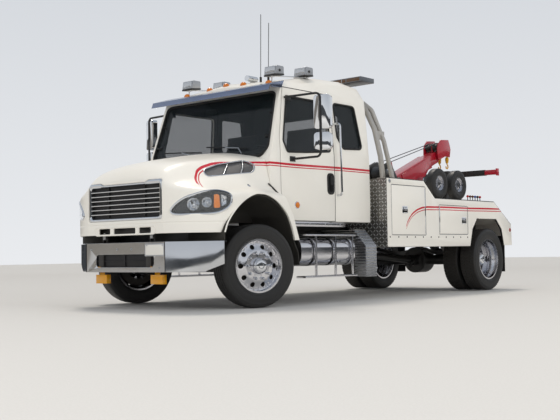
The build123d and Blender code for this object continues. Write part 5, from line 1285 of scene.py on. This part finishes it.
for side, word in ((1, "left"), (-1, "right")):
    assembled(f"body_trim_{word}", "chassis", sided(body_trim, side),
              [black_rubber, zinc, grey_seal, amber_lens, red_lens], 0, 40)
    for place, ((x0, z0), (x1, z1), (x, z), hinge_x) in lockers.items():
        latch = [(plate((x - 62, z - 48), (x + 62, z + 48), 14, (1197, 1203)), 0),
                 (plate((x - 46, z - 34), (x + 46, z + 34), 10, (1202, 1204)), 1),
                 (plate((x - 40, z - 8), (x + 40, z + 28), 8, (1203, 1209)), 0),
                 (pipe([(hinge_x, 1200, z0 + 20), (hinge_x, 1200, z1 - 20)], 6, 8), 0)]
        assembled(f"locker_latch_{place}_{word}", f"locker_{place}_{word}", sided(latch, side),
                  [chrome, dark_hole], 0.6, 35)
# Lever knobs: glossy moulded plastic in the colours of their levers
knobs = [surface(f"{name}_lever_knob", colour, 0.3, tint=colour, grain=6) for name, colour in
         (("red", "#b0141c"), ("brown", "#5b2f1c"), ("blue", "#1d3f8f"), ("black", "#141414"))]
knob_radius = 19
arc = [(-knob_radius * math.cos(a), knob_radius * math.sin(a)) for a in (0.5, 1.0, 1.57, 2.14, 2.64)]
ball = turned([(-knob_radius, 0.4), *arc, (knob_radius, 0.4)], 14, False)
assembled("lever_knobs", "chassis", [(placed(ball, -4505 - 72 * k, 1105 * side, 1372), (0, 1, 1, 2, 3, 0)[k])
                                     for k in range(6) for side in (1, -1)], knobs, 0, 60)
# Smoked amber lens: deep brown-amber, dark until it is lit
bar_lens = surface("smoked_amber_bar_lens", "#5e3d1a", 0.12, tint="#3d2a16", grain=12, relief=0.3,
                   Coat_Weight=0.6)
bar_parts = []
for k in range(8):
    y0 = -880 + 222 * k
    bar_parts += [(plate((y0, 2802), (y0 + 206, 2846), 8, depth, 6, "x"), 0)
                  for depth in ((-2196, -2188), (-2492, -2484))]
bar_parts += [(box(-2500, -2180, y - 5, y + 5, 2792, 2854), 1) for y in (-600, 0, 600)]
assembled("light_bar_lenses", "chassis", bar_parts, [bar_lens, satin_alloy], 0.8, 35)

# Boom: red welded box tube that telescopes over black sheaves, raised by two cylinders, with
# two winches at its root; the wires run over the head sheaves to hooks.

# Boom enamel: deep red gloss with a clear coat, which shows long highlights on its flat sides
boom_enamel = surface("red_boom_enamel", "#b0122a", 0.3, tint="#9c0e22", grain=20, Coat_Weight=0.5)
# Greased wire rope: dark dull metal, its strands hinted at by a fine relief
rope_steel = surface("greased_wire_rope", "#6a6c6e", 0.45, 0.8, tint="#4f5153", grain=3, relief=0.8)
# Hook enamel: strong yellow, slightly uneven, as dipped castings are
hook_yellow = surface("yellow_hook_enamel", "#e0a80e", 0.35, tint="#cb930a", grain=8, relief=0.1)
for node, finish, edge, crease in (
        ("boom", boom_enamel, 4, 32), ("boom_inner", boom_enamel, 2, 32), ("boom_stand", boom_enamel, 2, 32),
        ("cylinder_barrels", boom_enamel, 2, 32), ("sheaves", chassis_enamel, 0, 34),
        ("winches", chassis_enamel, 2, 34), ("cylinder_rods", chrome, 0, 34)):
    softened(node, [finish], edge, crease)

lean, boom_pivot_x, boom_pivot_z = math.radians(21.5), -3240, 1240


def boom_place(u, v, y=0.0):
    """A place on the boom at rest: u from its pivot along it, v square to it."""
    return (boom_pivot_x - u * math.cos(lean) + v * math.sin(lean), y,
            boom_pivot_z + u * math.sin(lean) + v * math.cos(lean))


drum_wraps = [(0, 0.5), (0, 96)]
for k in range(17):
    drum_wraps += [(4 + 11 * k, 97), (9.5 + 11 * k, 102), (15 + 11 * k, 97)]
drum_wraps += [(192, 96), (192, 0.5)]
x, _, z = boom_place(615, 280)
cheek = turned([(-7, 0.5), (-7, 128), (7, 128), (7, 0.5)], 40, False)
motor = turned([(0, 0.5), (0, 62), (70, 60), (92, 48), (96, 0.5)], 28, False)
winch_parts = [(placed(turned(drum_wraps, 36, False), x, 34, z), 0), (placed(cheek, x, 18, z), 1),
               (placed(cheek, x, 242, z), 1), (placed(motor, x, 248, z), 2)]
strut_parts = [(pipe([boom_place(990 + 118 * k, -92, 103), boom_place(1049 + 118 * k, 92, 103)], 5, 6), 0)
               for k in range(8)]
strut_parts += [(pipe([boom_place(960, v, 105), boom_place(2040, v, 105)], 6, 6), 0) for v in (-84, 84)]
guide = [boom_place(1040, 98, 62), boom_place(1030, 190, 62), boom_place(1020, 330, 74)]
strut_parts.append((pipe(guide, 16, 8), 0))
assembled("winch_drums_and_motors", "boom", both(winch_parts), [rope_steel, chassis_enamel, satin_alloy], 0,
          38)
assembled("boom_webs_and_rope_guides", "boom", both(strut_parts), [boom_enamel], 0, 40)
# The wires: from the drum's top over the head's sheaves, then down to the hooks
head_y, hook_x = 69.5, -5696
for side, word in ((1, "left"), (-1, "right")):
    y = head_y * side
    line = [boom_place(640, 378, 118 * side), boom_place(2360, 206, y)]
    steps = [tuple(Vector(line[0]).lerp(Vector(line[1]), k / 24)) for k in range(25)]
    wire = assembled(f"winch_wire_{word}", None, [(pipe(steps, 6.5, 8), 0)], [rope_steel], 0, 60)
    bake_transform(wire)
    over = [boom_place(u, v, y) for u, v in ((2340, 207), (2383, 205), (2430, 190), (2590, 102), (2634, 76),
                                             (2650, 34))] + [(hook_x, y, 2196), (hook_x, y, 2108)]
    body = turned([(-60, 1), (-60, 14), (-44, 24), (10, 30), (34, 24), (46, 12), (48, 1)], 20, False)
    spin = Matrix.Rotation(math.pi / 2, 4, "X")
    hook_body = [tuple(spin @ Vector(c) + Vector((hook_x, y, 2060))) for c in body[0]], body[1]
    bow = [(hook_x + out, y, z) for out, z in ((0, 2016), (0, 1990), (-24, 1968), (-28, 1936), (-4, 1914),
                                               (28, 1922), (36, 1950))]
    assembled(f"recovery_hook_{word}", "boom_extension",
              [(pipe(over, 6.5, 8), 0), (hook_body, 1), (pipe(bow, 10, 8), 1)],
              [rope_steel, hook_yellow], 0, 40)

# Wheel lift: black box stinger that folds up behind the body, crossbar with red sliding ends,
# and four dolly wheels on the deck.

softened("crossbar", [chassis_enamel, boom_enamel], 3, 32, share=lambda p, n: int(abs(p.y) > 0.652))
for place in ("front", "rear"):
    for word in ("left", "right"):
        softened(f"dolly_wheel_{place}_{word}", [tyre_rubber, polished_alloy], 0, 34,
                 pick=lambda low, high: int(high.z - low.z < 0.3))
